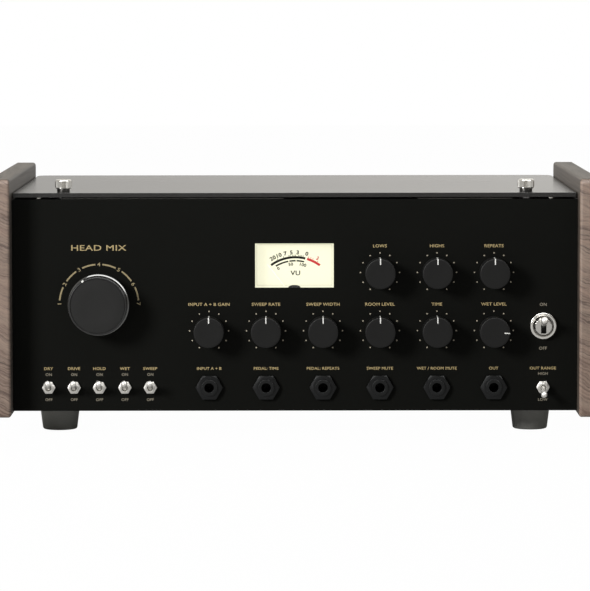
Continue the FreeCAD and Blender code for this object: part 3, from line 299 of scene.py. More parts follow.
class Nodes:
    """Makes the nodes of one tree."""

    def __init__(self, tree):
        self.tree = tree

    def make(self, kind, settings=None, inputs=None, output=0):
        """Adds a node, applies its settings first and then its inputs, and returns one output."""
        node = self.tree.nodes.new(kind)
        for name, setting in (settings or {}).items():
            if name == "stops":
                self.set_stops(node.color_ramp, setting)
            else:
                setattr(node, name, setting)
        for key, given in (inputs or {}).items():
            self.feed(node.inputs[key], given)
        return Value(self, node.outputs[output]) if len(node.outputs) else node

    def feed(self, socket, given):
        """Links an output, or several, to a socket, or sets its value."""
        if isinstance(given, Value):
            self.tree.links.new(given.socket, socket)
        elif isinstance(given, list):
            for each in given:
                self.tree.links.new(each.socket, socket)
        elif socket.type == "RGBA" and len(given) == 3:
            socket.default_value = (*given, 1.0)
        else:
            socket.default_value = given

    @staticmethod
    def set_stops(ramp, stops):
        """Gives a ramp its stops."""
        while len(ramp.elements) < len(stops):
            ramp.elements.new(1.0)
        for element, (position, shade) in zip(ramp.elements, stops):
            element.position = position
            element.color = (*shade, 1.0)

    # Shader nodes
    def position(self):
        """Object coordinates, which are the model's own."""
        return self.make("ShaderNodeTexCoord", output="Object")

    def split(self, vector):
        """The three parts of a vector."""
        node = self.tree.nodes.new("ShaderNodeSeparateXYZ")
        self.feed(node.inputs[0], vector)
        return [Value(self, socket) for socket in node.outputs]

    def joined(self, x, y, z):
        """A vector from its three parts."""
        return self.make("ShaderNodeCombineXYZ", {}, {0: x, 1: y, 2: z})

    def stretched(self, vector, x, y, z):
        """The vector scaled along each axis."""
        return self.make("ShaderNodeVectorMath", {"operation": "MULTIPLY"}, {0: vector, 1: (x, y, z)})

    def noise(self, vector, scale, detail=2.0, roughness=0.5):
        """Noise from 0 to 1."""
        return self.make("ShaderNodeTexNoise", {}, {"Vector": vector, "Scale": scale, "Detail": detail,
                                                    "Roughness": roughness})

    def cells(self, vector, scale):
        """Distance to the nearest cell's centre."""
        return self.make("ShaderNodeTexVoronoi", {"feature": "F1"}, {"Vector": vector, "Scale": scale})

    def mix(self, factor, first, second):
        """Blend of two colours."""
        return self.make("ShaderNodeMix", {"data_type": "RGBA"}, {0: factor, 6: first, 7: second}, 2)

    def ramp(self, factor, stops):
        """Colour ramp."""
        return self.make("ShaderNodeValToRGB", {"stops": stops}, {0: factor})

    def relief(self, height, depth, strength=1.0):
        """Normal from a height; depth is in metres."""
        return self.make("ShaderNodeBump", {}, {"Height": height, "Distance": depth, "Strength": strength})

    def surface(self, inputs):
        """The one principled shader of a material."""
        shader = self.make("ShaderNodeBsdfPrincipled", {}, inputs)
        self.make("ShaderNodeOutputMaterial", {}, {0: shader})


def shade(base, factor):
    """A lighter or darker version of a colour."""
    return tuple(min(channel * factor, 1.0) for channel in base)


# ---- Finishes ----
def moulded(nodes, base, roughness, grain, depth, mottle, specular):
    """Moulded or coated surface: fine texture, and a soft change of tone and gloss."""
    where = nodes.position()
    fine = nodes.noise(where, grain, 3.0)
    broad = nodes.noise(where, 35.0, 3.0)
    tone = 0.65 * fine + 0.35 * broad
    nodes.surface({"Base Color": nodes.mix(tone.clamped(), shade(base, 1.0 - mottle), shade(base, 1.0 + mottle)),
                   "Roughness": roughness - 0.06 + 0.12 * broad + 0.05 * fine, "Specular IOR Level": specular,
                   "Normal": nodes.relief(fine, depth * MM, 0.6)})


def machined(nodes, base, roughness, lines, spacing, depth, wear):
    """Bare or plated metal with brush lines along the axis whose factor is smallest."""
    where = nodes.position()
    brushed = nodes.noise(nodes.stretched(where, *lines), spacing, 3.0, 0.6)
    cloud = nodes.noise(where, 60.0, 4.0)
    nodes.surface({"Base Color": nodes.mix(cloud, shade(base, 1.0 - wear), shade(base, 1.0 + wear)),
                   "Metallic": 1.0, "Roughness": roughness - 0.05 + 0.1 * cloud + 0.08 * brushed,
                   "Normal": nodes.relief(brushed, depth * MM, 0.5)})


def walnut(nodes, colours):
    """Oiled board: rings that show on its front end as wavy lines, and long darker streaks on its other faces, whose
    colour also holds painted sheen and painted shade.
    """
    x, y, z = nodes.split(nodes.position())
    bend = nodes.noise(nodes.joined(x * 30.0, y * 3.0, z * 24.0), 1.0, 2.0)
    wave = nodes.noise(nodes.joined(x * 170.0, y * 8.0, z * 150.0), 1.0, 2.0)
    level = z + x * 0.42 + (bend - 0.5) * 0.013 + (wave - 0.5) * 0.003
    band = nodes.noise(nodes.joined(x * 12.0, y * 2.5, level * 90.0), 1.0, 2.0)
    fibre = nodes.noise(nodes.joined(x * 45.0, y * 6.0, level * 680.0), 1.0, 3.0, 0.6)
    hair = nodes.noise(nodes.joined(x * 500.0, y * 14.0, level * 2600.0), 1.0, 2.0, 0.5)
    tone = 0.56 * fibre + 0.26 * band + 0.18 * hair
    mid = tuple((a * 0.6 + b * 0.4) for a, b in zip(colours.wood_light, colours.wood_dark))
    patch = nodes.noise(nodes.joined(x * 25.0, y * 3.0, level * 130.0), 1.0, 2.0)
    grain = nodes.ramp(tone, [(0.4, colours.wood_dark), (0.48, mid), (0.58, colours.wood_light)])
    grain = nodes.mix((patch * 3.0 - 1.1).clamped() * 0.6, grain, nodes.mix(0.5, grain, colours.wood_red))
    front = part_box("left_cheek")[0].y
    # Long faces: the wood's side tone with a painted grey-green sheen, mixed into the grain
    sides_sheen_and_shade = nodes.mix(0.66, grain, colours.wood_side_sheen)
    # Painted shade: the inner faces, which face the case, are mixed towards near-black wood
    inner = abs(x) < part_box("right_cheek")[0].x + 0.3 * MM
    sides_sheen_and_shade = nodes.mix(inner * 0.55, sides_sheen_and_shade, shade(colours.wood_dark, 0.4))
    # Painted shade: the left board's front is a little darker, against the key light that falls nearer it
    board = nodes.mix((x < 0.0) * 0.12, grain, colours.wood_dark)
    nodes.surface({"Base Color": nodes.mix(y > front + 2.2 * MM, board, sides_sheen_and_shade), "Roughness": 0.62 - 0.2 * tone,
                   "Normal": nodes.relief(tone, 0.12 * MM, 0.6), "Specular IOR Level": 0.5})


def smoked(nodes, colours):
    """Smoked acrylic: dark, glossy and a little see-through."""
    where = nodes.position()
    smear = nodes.noise(nodes.stretched(where, 6.0, 14.0, 14.0), 1.0, 4.0)
    nodes.surface({"Base Color": nodes.mix(smear, shade(colours.lid, 0.8), shade(colours.lid, 1.3)),
                   "Roughness": 0.22 + 0.01 * smear, "IOR": 1.49, "Alpha": 0.93})


def card_painted_glow(nodes, colours):
    """Meter card that glows by its own emission, a painted glow in place of the lamp that lights it from behind through
    its lower edge; the glow is a little brighter towards the top.
    """
    z = nodes.split(nodes.position())[2]
    low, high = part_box("meter_scale_plate")
    rise = (z - low.z) / (high.z - low.z)
    fibre = nodes.noise(nodes.position(), 2500.0, 3.0)
    glow = nodes.mix((rise + 0.1 * fibre).clamped(), shade(colours.card, 0.97), colours.card)
    # Painted glow: the card emits light of its own
    nodes.surface({"Base Color": shade(colours.card, 0.2), "Roughness": 0.7 + 0.1 * fibre, "Emission Color": glow,
                   "Emission Strength": 0.99})


def needle_finish(nodes):
    """Pale needle on a black hub; outside the hub the needle glows a little by emission, a painted glow."""
    x, _, z = nodes.split(nodes.position())
    pivot = middle("meter_window")
    across = x - pivot.x
    rise = z - (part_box("meter_window")[0].z - 8.0 * MM)
    hub = (across * across + rise * rise) ** 0.5 < 5.0 * MM
    fine = nodes.noise(nodes.position(), 1500.0, 2.0)
    # Painted glow: the needle outside the hub emits light
    nodes.surface({"Base Color": nodes.mix(hub, (0.8, 0.78, 0.6), (0.01, 0.01, 0.01)),
                   "Emission Color": nodes.mix(hub, (0.95, 0.93, 0.7), (0.0, 0.0, 0.0)), "Emission Strength": 0.7,
                   "Roughness": 0.45 + 0.1 * fine, "Normal": nodes.relief(fine, 0.005 * MM, 0.4)})


def switch_nickel(nodes, colours, reach):
    """Plated switch face whose slot, or groove round the bush, is painted dark inside as the shade of the recess."""
    x, y, z = nodes.split(nodes.position())
    across = x - POWER.x
    rise = z - POWER.z
    # Painted shade: inside the slot or groove the colour is near black and barely metallic
    if reach > 0.0:
        inside = (across * across + rise * rise) ** 0.5 < reach
    else:
        inside = (abs(across) < 1.9 * MM) * (abs(rise) < 4.9 * MM) * (y > PANEL_Y - 6.9 * MM)
    cloud = nodes.noise(nodes.position(), 300.0, 3.0)
    tone = 0.92 if reach > 0.0 else 0.72
    shine = nodes.mix(cloud, shade(colours.nickel, tone * 0.95), shade(colours.nickel, tone * 1.05))
    nodes.surface({"Base Color": nodes.mix(inside, shine, (0.03, 0.028, 0.025)), "Metallic": 1.0 - 0.7 * inside,
                   "Roughness": 0.14 + 0.06 * cloud + 0.3 * inside,
                   "Normal": nodes.relief(cloud, 0.003 * MM, 0.3)})


def clear(nodes):
    """Clear window."""
    haze = nodes.noise(nodes.position(), 90.0, 2.0)
    nodes.surface({"Base Color": (0.03, 0.03, 0.03), "Roughness": 0.02 + 0.05 * haze, "Alpha": 0.04, "IOR": 1.49,
                   "Specular IOR Level": 0.3})


def circuit(nodes, colours):
    """Lacquered board with copper tracks and solder points."""
    where = nodes.position()
    x = nodes.split(where)[0]
    tracks = ((x * 900.0 + nodes.noise(where, 120.0, 0.0) * 14.0).sine() > 0.55) * (nodes.cells(where, 110.0) < 0.55)
    solder = nodes.cells(where, 300.0) < 0.13
    green = nodes.mix(tracks, colours.board, shade(colours.board, 1.9))
    nodes.surface({"Base Color": nodes.mix(solder, green, (0.6, 0.6, 0.58)), "Metallic": solder * 1.0,
                   "Roughness": 0.35 + 0.2 * nodes.noise(where, 400.0),
                   "Normal": nodes.relief(tracks + solder, 0.05 * MM)})


def laminated(nodes):
    """Stacked core sheets with a taped winding before and behind them."""
    where = nodes.position()
    _, y, z = nodes.split(where)
    centre = middle("mains_transformer")
    low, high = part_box("mains_transformer")
    winding = abs(y - centre.y) > (high.y - low.y) / 2 - 0.009
    sheets = (y * (math.tau / 0.0007)).sine() * 0.5 + 0.5
    turns = (z * (math.tau / 0.0009)).sine() * 0.5 + 0.5
    cloud = nodes.noise(where, 90.0, 4.0)
    iron = nodes.mix(0.6 * sheets + 0.4 * cloud, (0.03, 0.03, 0.032), (0.14, 0.135, 0.13))
    paper = nodes.mix(0.5 * turns + 0.5 * cloud, (0.42, 0.27, 0.06), (0.6, 0.42, 0.12))
    nodes.surface({"Base Color": nodes.mix(winding, iron, paper), "Roughness": 0.5 + 0.2 * cloud,
                   "Normal": nodes.relief(sheets * (1.0 - winding) + turns * winding, 0.15 * MM, 0.6)})


def oxide(nodes, colours):
    """Recording tape: smooth oxide with faint slitting lines along it."""
    x, y, z = nodes.split(nodes.position())
    lines = nodes.noise(nodes.joined(x * 3.0, y * 3.0, z * 2600.0), 1.0, 2.0)
    nodes.surface({"Base Color": nodes.mix(lines, shade(colours.tape, 0.75), shade(colours.tape, 1.3)),
                   "Roughness": 0.2 + 0.15 * lines, "Normal": nodes.relief(lines, 0.01 * MM, 0.4)})


def seal_foam(nodes):
    """Dark foam on a paler self-adhesive strip, whose pale colour is a painted highlight for the light line under the
    lid's edge.
    """
    z = nodes.split(nodes.position())[2]
    cells = nodes.noise(nodes.position(), 1500.0, 3.0)
    # Painted highlight: a pale band along the foam's foot stands in for the light line under the lid
    highlight_band = z < PANEL_TOP + 0.6 * MM
    nodes.surface({"Base Color": nodes.mix(highlight_band, nodes.mix(cells, (0.006, 0.006, 0.006), (0.012, 0.012, 0.011)),
                                           (0.5, 0.49, 0.46)),
                   "Roughness": 0.75 + 0.2 * cells, "Specular IOR Level": 0.2,
                   "Normal": nodes.relief(cells, 0.1 * MM, 0.6)})


def floor_finish(nodes):
    """Pale floor that looks nearly white to the camera and to reflections, and keeps the shadow."""
    stage = bpy.context.scene.tape_echo_stage
    grain = nodes.noise(nodes.position(), 30.0, 3.0)
    tint = nodes.mix(grain, shade(stage.floor, 0.99), shade(stage.floor, 1.01))
    lit = nodes.make("ShaderNodeBsdfDiffuse", {}, {"Color": tint})
    glow = nodes.make("ShaderNodeEmission", {}, {"Color": (1.0, 1.0, 1.0), "Strength": 1.0})
    path = "ShaderNodeLightPath"
    seen = nodes.make(path, output="Is Camera Ray") * 0.985
    mirrored = nodes.make(path, output="Is Glossy Ray") * 0.3 + nodes.make(path, output="Is Transmission Ray") * 0.5
    nodes.make("ShaderNodeOutputMaterial", {},
               {0: nodes.make("ShaderNodeMixShader", {}, {0: (seen + mirrored).clamped(), 1: lit, 2: glow})})


# Moulded, coated and printed looks: colour, factor on it, roughness, scale of the grain, its depth in millimetres,
# mottle and specular level. A colour is given as numbers or as the name of one that the user may change.
MOULDED = {
    "panel_black": ("panel", 1.0, 0.5, 2200.0, 0.006, 0.12, 0.02),
    "case_black": ("sheet", 1.0, 0.55, 1600.0, 0.03, 0.25, 0.5),
    "jack_black": ("jack", 1.0, 0.36, 1800.0, 0.006, 0.2, 0.2),
    "knob_black": ("knob", 1.0, 0.42, 1900.0, 0.01, 0.15, 0.17),
    "dial_black": ("knob", 1.75, 0.42, 1900.0, 0.01, 0.15, 0.2),
    "dial_rim": ((0.02, 0.02, 0.02), 1.0, 0.35, 1900.0, 0.002, 0.1, 0.3),
    "moulding_black": ((0.018, 0.018, 0.018), 1.0, 0.5, 1200.0, 0.04, 0.25, 0.5),
    "foot_rubber": ("rubber", 1.0, 0.75, 1100.0, 0.05, 0.2, 0.3),
    "roller_rubber": ((0.03, 0.03, 0.03), 1.0, 0.7, 2600.0, 0.03, 0.2, 0.3),
    "gold_ink": ("gold", 1.0, 0.42, 2600.0, 0.006, 0.12, 0.5),
    "soft_gold_ink": ("gold", 1.18, 0.45, 2600.0, 0.006, 0.12, 0.5),
    "arc_ink": ("arc", 1.0, 0.42, 2600.0, 0.006, 0.12, 0.5),
    "ivory_ink": ("ivory", 1.0, 0.5, 2600.0, 0.006, 0.12, 0.5),
    "grey_ink": ("ivory", 0.68, 0.5, 2600.0, 0.006, 0.12, 0.5),
    "white_line": ("white", 1.0, 0.4, 2600.0, 0.004, 0.06, 0.5),
    "meter_black": ((0.004, 0.004, 0.003), 1.0, 0.6, 2600.0, 0.004, 0.2, 0.1),
    "meter_grey": ((0.6, 0.6, 0.46), 1.0, 0.6, 2600.0, 0.004, 0.1, 0.5),
    "meter_red": ((0.75, 0.03, 0.03), 1.0, 0.6, 2600.0, 0.004, 0.15, 0.5),
}

# Metal looks: colour, factor on it, roughness, stretch of the brush lines along each axis, their scale, their depth
# in millimetres and wear. The colour is given as above.
EVEN = (1.0, 1.0, 1.0)
MACHINED = {
    "rim_black": ((0.13, 0.13, 0.127), 1.0, 0.13, EVEN, 900.0, 0.0005, 0.05),
    "nickel": ("nickel", 1.0, 0.13, EVEN, 900.0, 0.001, 0.05),
    "satin_nickel": ("nickel", 0.86, 0.44, EVEN, 900.0, 0.002, 0.12),
    "lever_nickel": ("nickel", 0.95, 0.5, EVEN, 900.0, 0.001, 0.12),
    "bush_nickel": ("nickel", 0.7, 0.42, EVEN, 900.0, 0.001, 0.12),
    "dark_nickel": ((0.07, 0.068, 0.064), 1.0, 0.3, EVEN, 900.0, 0.001, 0.12),
    "zinc": ((0.56, 0.57, 0.56), 1.0, 0.34, EVEN, 500.0, 0.01, 0.2),
    "deck_aluminium": ((0.62, 0.62, 0.61), 1.0, 0.34, (0.03, 1.0, 1.0), 1400.0, 0.012, 0.12),
    "turned_aluminium": ((0.7, 0.7, 0.69), 1.0, 0.24, (0.1, 0.1, 1.0), 1800.0, 0.008, 0.12),
    "milled_aluminium": ((0.42, 0.42, 0.41), 1.0, 0.5, (0.03, 1.0, 1.0), 1400.0, 0.008, 0.12),
    "brass": ((0.72, 0.52, 0.22), 1.0, 0.26, (0.1, 0.1, 1.0), 1500.0, 0.008, 0.12),
    "head_metal": ((0.45, 0.45, 0.46), 1.0, 0.3, (1.0, 1.0, 0.05), 1800.0, 0.006, 0.12),
}

# Looks with a shader of their own
RING_GROOVE = 6.6 * MM
OTHER_LOOKS = {
    "walnut": walnut,
    "smoked_acrylic": smoked,
    "meter_card": card_painted_glow,
    "circuit_board": circuit,
    "tape_oxide": oxide,
    "switch_bush": lambda nodes, colours: switch_nickel(nodes, colours, 0.0),
    "switch_ring": lambda nodes, colours: switch_nickel(nodes, colours, RING_GROOVE),
    "foam": lambda nodes, _: seal_foam(nodes),
    "needle": lambda nodes, _: needle_finish(nodes),
    "clear_window": lambda nodes, _: clear(nodes),
    "laminated_core": lambda nodes, _: laminated(nodes),
    "floor": lambda nodes, _: floor_finish(nodes),
}


def own_colour(base):
    """A colour from its numbers, or from its name among the finishes."""
    return getattr(bpy.context.scene.tape_echo_finishes, base) if isinstance(base, str) else base


def finish(name):
    """The named finish as a material, made when it is first asked for."""
    title = name + "_finish"
    if title in bpy.data.materials:
        return bpy.data.materials[title]
    material = bpy.data.materials.new(title)
    material.use_nodes = True
    material.node_tree.nodes.clear()
    nodes = Nodes(material.node_tree)
    if name in MOULDED:
        base, factor, *rest = MOULDED[name]
        moulded(nodes, shade(own_colour(base), factor), *rest)
    elif name in MACHINED:
        base, factor, *rest = MACHINED[name]
        machined(nodes, shade(own_colour(base), factor), *rest)
    else:
        OTHER_LOOKS[name](nodes, bpy.context.scene.tape_echo_finishes)
    return material


# ---- Mesh building ----
def smoothed(mesh, angle=SHARP):
    """Smooth faces with sharp edges past this angle."""
    mesh.shade_smooth()
    mesh.set_sharp_from_angle(angle=math.radians(angle))
    return mesh


def mesh_from(shape, name, angle):
    """Mesh data from a shape, its doubles merged and its faces outwards."""
    bmesh.ops.remove_doubles(shape, verts=shape.verts, dist=NEW_WELD)
    bmesh.ops.recalc_face_normals(shape, faces=shape.faces)
    mesh = bpy.data.meshes.new(name)
    shape.to_mesh(mesh)
    shape.free()
    return smoothed(mesh, angle)


def fitted(piece, body, look, *nodes):
    """Gives a finished piece its look, its body and the nodes that it stands for."""
    if piece.name not in bpy.context.scene.collection.all_objects:
        bpy.context.scene.collection.objects.link(piece)
    piece.data.materials.clear()
    piece.data.materials.append(finish(look))
    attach(piece, body)
    if nodes:
        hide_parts(*nodes)
    return piece


def placed(name, shape, body, look, *nodes, angle=SHARP):
    """Makes a piece from a shape."""
    return fitted(bpy.data.objects.new(name, mesh_from(shape, name, angle)), body, look, *nodes)


def rounded(points, radius, steps=4):
    """Profile with its inner corners rounded; the two ends stay."""
    corners = [Vector(point) for point in points]
    result = [corners[0]]
    for before, corner, after in zip(corners, corners[1:], corners[2:]):
        reach = min(radius, (before - corner).length * 0.45, (after - corner).length * 0.45)
        start = corner + (before - corner).normalized() * reach
        end = corner + (after - corner).normalized() * reach
        for i in range(steps + 1):
            t = i / steps
            result.append(start * (1 - t) ** 2 + corner * (2 * t * (1 - t)) + end * t ** 2)
    return [tuple(point) for point in result + [corners[-1]]]


def directions(axis):
    """Two directions square to the axis."""
    reference = UP if abs(axis.z) < 0.9 else Vector((1, 0, 0))
    side = reference.cross(axis).normalized()
    return side, axis.cross(side)


def turn(shape, centre, axis, profile, sides=64):
    """Adds a body turned about an axis; profile points are (radius, distance along the axis). A profile that
    doesn't start on the axis is closed on itself, as a ring's is."""
    axis = Vector(axis).normalized()
    side, other = directions(axis)
    rings = []
    for radius, along in profile:
        base = centre + axis * along
        if radius < ON_AXIS:
            rings.append([shape.verts.new(base)])
            continue
        angles = [math.tau * i / sides for i in range(sides)]
        rings.append([shape.verts.new(base + (side * math.cos(a) + other * math.sin(a)) * radius) for a in angles])
    pairs = list(zip(rings, rings[1:]))
    if profile[0][0] > ON_AXIS:
        pairs.append((rings[-1], rings[0]))
    for first, second in pairs:
        for i in range(sides):
            j = (i + 1) % sides
            corners = [first[i % len(first)], first[j % len(first)], second[j % len(second)],
                       second[i % len(second)]]
            face = list(dict.fromkeys(corners))
            if len(face) > 2:
                shape.faces.new(face)


def turned(name, centre, axis, profile, body, look, *nodes, sides=64, angle=SHARP):
    """Makes one turned piece; its profile is in millimetres."""
    shape = bmesh.new()
    turn(shape, centre, axis, [(r * MM, a * MM) for r, a in profile], sides)
    return placed(name, shape, body, look, *nodes, angle=angle)


def prism(shape, outline, thickness, place):
    """Adds a closed prism: the outline is a list of flat points (u, v), and place turns (u, v, w) into a point."""
    layers = [[shape.verts.new(place(u, v, w)) for u, v in outline] for w in (0.0, thickness)]
    shape.faces.new(list(reversed(layers[0])))
    shape.faces.new(layers[1])
    for i in range(len(outline)):
        j = (i + 1) % len(outline)
        shape.faces.new([layers[0][i], layers[0][j], layers[1][j], layers[1][i]])


def on_face(centre, y):
    """Maps (across, up, out) in metres from a centre on a plane that faces the front."""
    return lambda u, v, w: Vector((centre[0] + u, y - w, centre[1] + v))


def on_radius(centre, degrees, width):
    """Maps (out, up, across) in metres along a knob's radius, turned clockwise from the top."""
    a = math.radians(degrees)

    def place(out, up, across):
        sideways = across - width / 2
        return Vector((centre.x + up * math.sin(a) + sideways * math.cos(a), PANEL_Y - out,
                       centre.z + up * math.cos(a) - sideways * math.sin(a)))

    return place


def bar(shape, x0, x1, z0, z1, y, thickness):
    """Adds a flat bar that faces the front."""
    prism(shape, [(x0, z0), (x1, z0), (x1, z1), (x0, z1)], thickness, on_face((0.0, 0.0), y))


def arc_band(shape, centre, radius, width, first, last, y, thickness, steps=24):
    """Adds a flat band along an arc; angles are in degrees, clockwise from the top."""
    outline = []
    for edge, order in ((radius + width / 2, 1), (radius - width / 2, -1)):
        marks = range(steps + 1) if order == 1 else range(steps, -1, -1)
        for i in marks:
            a = math.radians(first + (last - first) * i / steps)
            outline.append((edge * math.sin(a), edge * math.cos(a)))
    prism(shape, outline, thickness, on_face(centre, y))


def capital_height():
    """Height of a capital letter in text of size 1."""
    curve = bpy.data.curves.new("capital", "FONT")
    curve.body = "H"
    holder = bpy.data.objects.new("capital", curve)
    mesh = bpy.data.meshes.new_from_object(holder)
    height = max(v.co.y for v in mesh.vertices)
    bpy.data.objects.remove(holder)
    bpy.data.meshes.remove(mesh)
    return height


def letters(shape, words, x, z, height, y, ink, widen=1.12, weight=0.012, angle=0.0, radius=0.0, spacing=1.05):
    """Adds raised lettering that faces the front, centred on a point, or turned about it at a radius."""
    curve = bpy.data.curves.new("letters", "FONT")
    curve.body = words
    curve.align_x = "CENTER"
    curve.space_character = spacing
    curve.resolution_u = 3
    curve.offset = weight
    curve.extrude = 0.5
    holder = bpy.data.objects.new("letters", curve)
    mesh = bpy.data.meshes.new_from_object(holder)
    scale = height / capital_height()
    middle_x = (min(v.co.x for v in mesh.vertices) + max(v.co.x for v in mesh.vertices)) / 2
    a = math.radians(angle)
    for vertex in mesh.vertices:
        u = (vertex.co.x - middle_x) * scale * widen
        v = vertex.co.y * scale - height / 2 + radius
        w = (vertex.co.z + 0.5) * ink
        vertex.co = (x + u * math.cos(a) + v * math.sin(a), y - w, z - u * math.sin(a) + v * math.cos(a))
    shape.from_mesh(mesh)
    bpy.data.objects.remove(holder)
    bpy.data.meshes.remove(mesh)


def softened(node, look, edge):
    """Merged copy of a node with its edges eased, in place of the node."""
    source = frame["nodes"][node]
    shape = bmesh.new()
    shape.from_mesh(source.data)
    bmesh.ops.remove_doubles(shape, verts=shape.verts, dist=NODE_WELD)
    bmesh.ops.dissolve_limit(shape, angle_limit=math.radians(FLAT), verts=shape.verts, edges=shape.edges)
    mesh = bpy.data.meshes.new(node + "_piece")
    shape.to_mesh(mesh)
    shape.free()
    smoothed(mesh)
    piece = bpy.data.objects.new(node + "_piece", mesh)
    bpy.context.scene.collection.objects.link(piece)
    if edge > 0.0:
        easing = piece.modifiers.new("easing", "BEVEL")
        easing.width = edge
        easing.segments = 2
        easing.limit_method = "ANGLE"
        easing.angle_limit = math.radians(EASED)
        easing.harden_normals = True
        graph = bpy.context.evaluated_depsgraph_get()
        eased = bpy.data.meshes.new_from_object(piece.evaluated_get(graph), depsgraph=graph)
        piece.modifiers.clear()
        piece.data = eased
    return fitted(piece, source["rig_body"], look, node)


def soften_all(*pieces):
    """Softens several nodes; each is given with its look and the easing of its edges."""
    for node, look, edge in pieces:
        softened(node, look, edge)


# ---- Geometry trees ----
class Grower:
    """A geometry tree with named inputs that places copies of a small form on a base mesh's points."""

    def __init__(self, name, inputs):
        self.tree = bpy.data.node_groups.new(name, "GeometryNodeTree")
        face = self.tree.interface
        face.new_socket("Geometry", in_out="INPUT", socket_type="NodeSocketGeometry")
        for label, kind in inputs.items():
            face.new_socket(label, in_out="INPUT", socket_type="NodeSocket" + kind)
        face.new_socket("Material", in_out="INPUT", socket_type="NodeSocketMaterial")
        face.new_socket("Geometry", in_out="OUTPUT", socket_type="NodeSocketGeometry")
        self.nodes = Nodes(self.tree)
        self.start = self.tree.nodes.new("NodeGroupInput")
        self.make = self.nodes.make

    def given(self, label):
        """One of the tree's named inputs."""
        return Value(self.nodes, self.start.outputs[label])

    def attribute(self, label, kind):
        """A named attribute of the base mesh."""
        return self.make("GeometryNodeInputNamedAttribute", {"data_type": kind}, {"Name": label})

    def around(self, form, count, radius, first=0.0, last=math.tau, upright=False):
        """Copies of a form on a circle in the XY plane, or in XZ clockwise from the top if upright."""
        index = self.make("GeometryNodeInputIndex")
        angle = first + index * ((last - first) / (count - 1.0 if upright else count))
        if upright:
            place = self.nodes.joined(angle.sine() * radius, 0.0, angle.cosine() * radius)
            heading = self.nodes.joined(0.0, angle, 0.0)
        else:
            place = self.nodes.joined(angle.cosine() * radius, angle.sine() * radius, 0.0)
            heading = self.nodes.joined(0.0, 0.0, angle)
        points = self.make("GeometryNodePoints", {}, {"Count": count, "Position": place})
        return self.make("GeometryNodeInstanceOnPoints", {}, {"Points": points, "Instance": form,
                                                              "Rotation": heading})

    def raised(self, form, height):
        """The form moved along its axis."""
        lift = self.nodes.joined(0.0, 0.0, height)
        return self.make("GeometryNodeTransform", {}, {"Geometry": form, "Translation": lift})

    def facing(self):
        """Rotation from +Z to the base point's own direction."""
        return self.make("FunctionNodeAlignRotationToVector", {"axis": "Z"},
                         {"Vector": self.attribute("facing", "FLOAT_VECTOR")})

    def finished(self, form, rotation=None, scale=None):
        """Ends the tree: the form on every base point, made real, with its material."""
        inputs = {"Points": self.given("Geometry"), "Instance": form}
        if rotation:
            inputs["Rotation"] = rotation
        if scale:
            inputs["Scale"] = scale
        spread = self.make("GeometryNodeInstanceOnPoints", {}, inputs)
        real = self.make("GeometryNodeRealizeInstances", {}, {0: spread})
        coloured = self.make("GeometryNodeSetMaterial", {}, {"Geometry": real, "Material": self.given("Material")})
        self.tree.links.new(coloured.socket, self.tree.nodes.new("NodeGroupOutput").inputs[0])
        return self.tree


def dot_tree():
    """Rings of flat dots that face the front."""
    grower = Grower("dot_rings", {"Dots": "Int", "Ring Radius": "Float", "Dot Radius": "Float",
                                  "Thickness": "Float", "Spread": "Float"})
    dot = grower.make("GeometryNodeMeshCylinder", {}, {"Vertices": 14, "Radius": grower.given("Dot Radius"),
                                                       "Depth": grower.given("Thickness")})
    flat = grower.make("GeometryNodeTransform", {}, {"Geometry": dot, "Rotation": (math.pi / 2, 0.0, 0.0)})
    spread = grower.given("Spread")
    ring = grower.around(flat, grower.given("Dots"), grower.given("Ring Radius"), 0.0 - spread, spread, True)
    return grower.finished(ring)


def knurl_tree():
    """Bands of upright ribs round a screw's head."""
    grower = Grower("knurls", {"Ribs": "Int", "Radius": "Float", "Size": "Float", "Height": "Float"})
    size = grower.given("Size")
    rib = grower.make("GeometryNodeMeshCube", {}, {"Size": grower.nodes.joined(size, size, grower.given("Height"))})
    edge_out = grower.make("GeometryNodeTransform", {}, {"Geometry": rib, "Rotation": (0.0, 0.0, math.pi / 4)})
    return grower.finished(grower.around(edge_out, grower.given("Ribs"), grower.given("Radius")))


def thread_tree():
    """Stacks of thread ridges on round bushes, along each base point's direction."""
    grower = Grower("threads", {"Turns": "Int", "Pitch": "Float", "Radius": "Float", "Ridge": "Float"})
    circle = "GeometryNodeCurvePrimitiveCircle"
    path = grower.make(circle, {}, {"Resolution": 40, "Radius": grower.given("Radius")})
    ridge = grower.make(circle, {}, {"Resolution": 4, "Radius": grower.given("Ridge")})
    ring = grower.make("GeometryNodeCurveToMesh", {}, {"Curve": path, "Profile Curve": ridge})
    step = grower.nodes.joined(0.0, 0.0, grower.given("Pitch"))
    line = grower.make("GeometryNodeMeshLine", {}, {"Count": grower.given("Turns"), "Offset": step})
    stack = grower.make("GeometryNodeInstanceOnPoints", {}, {"Points": line, "Instance": ring})
    return grower.finished(stack, grower.facing())


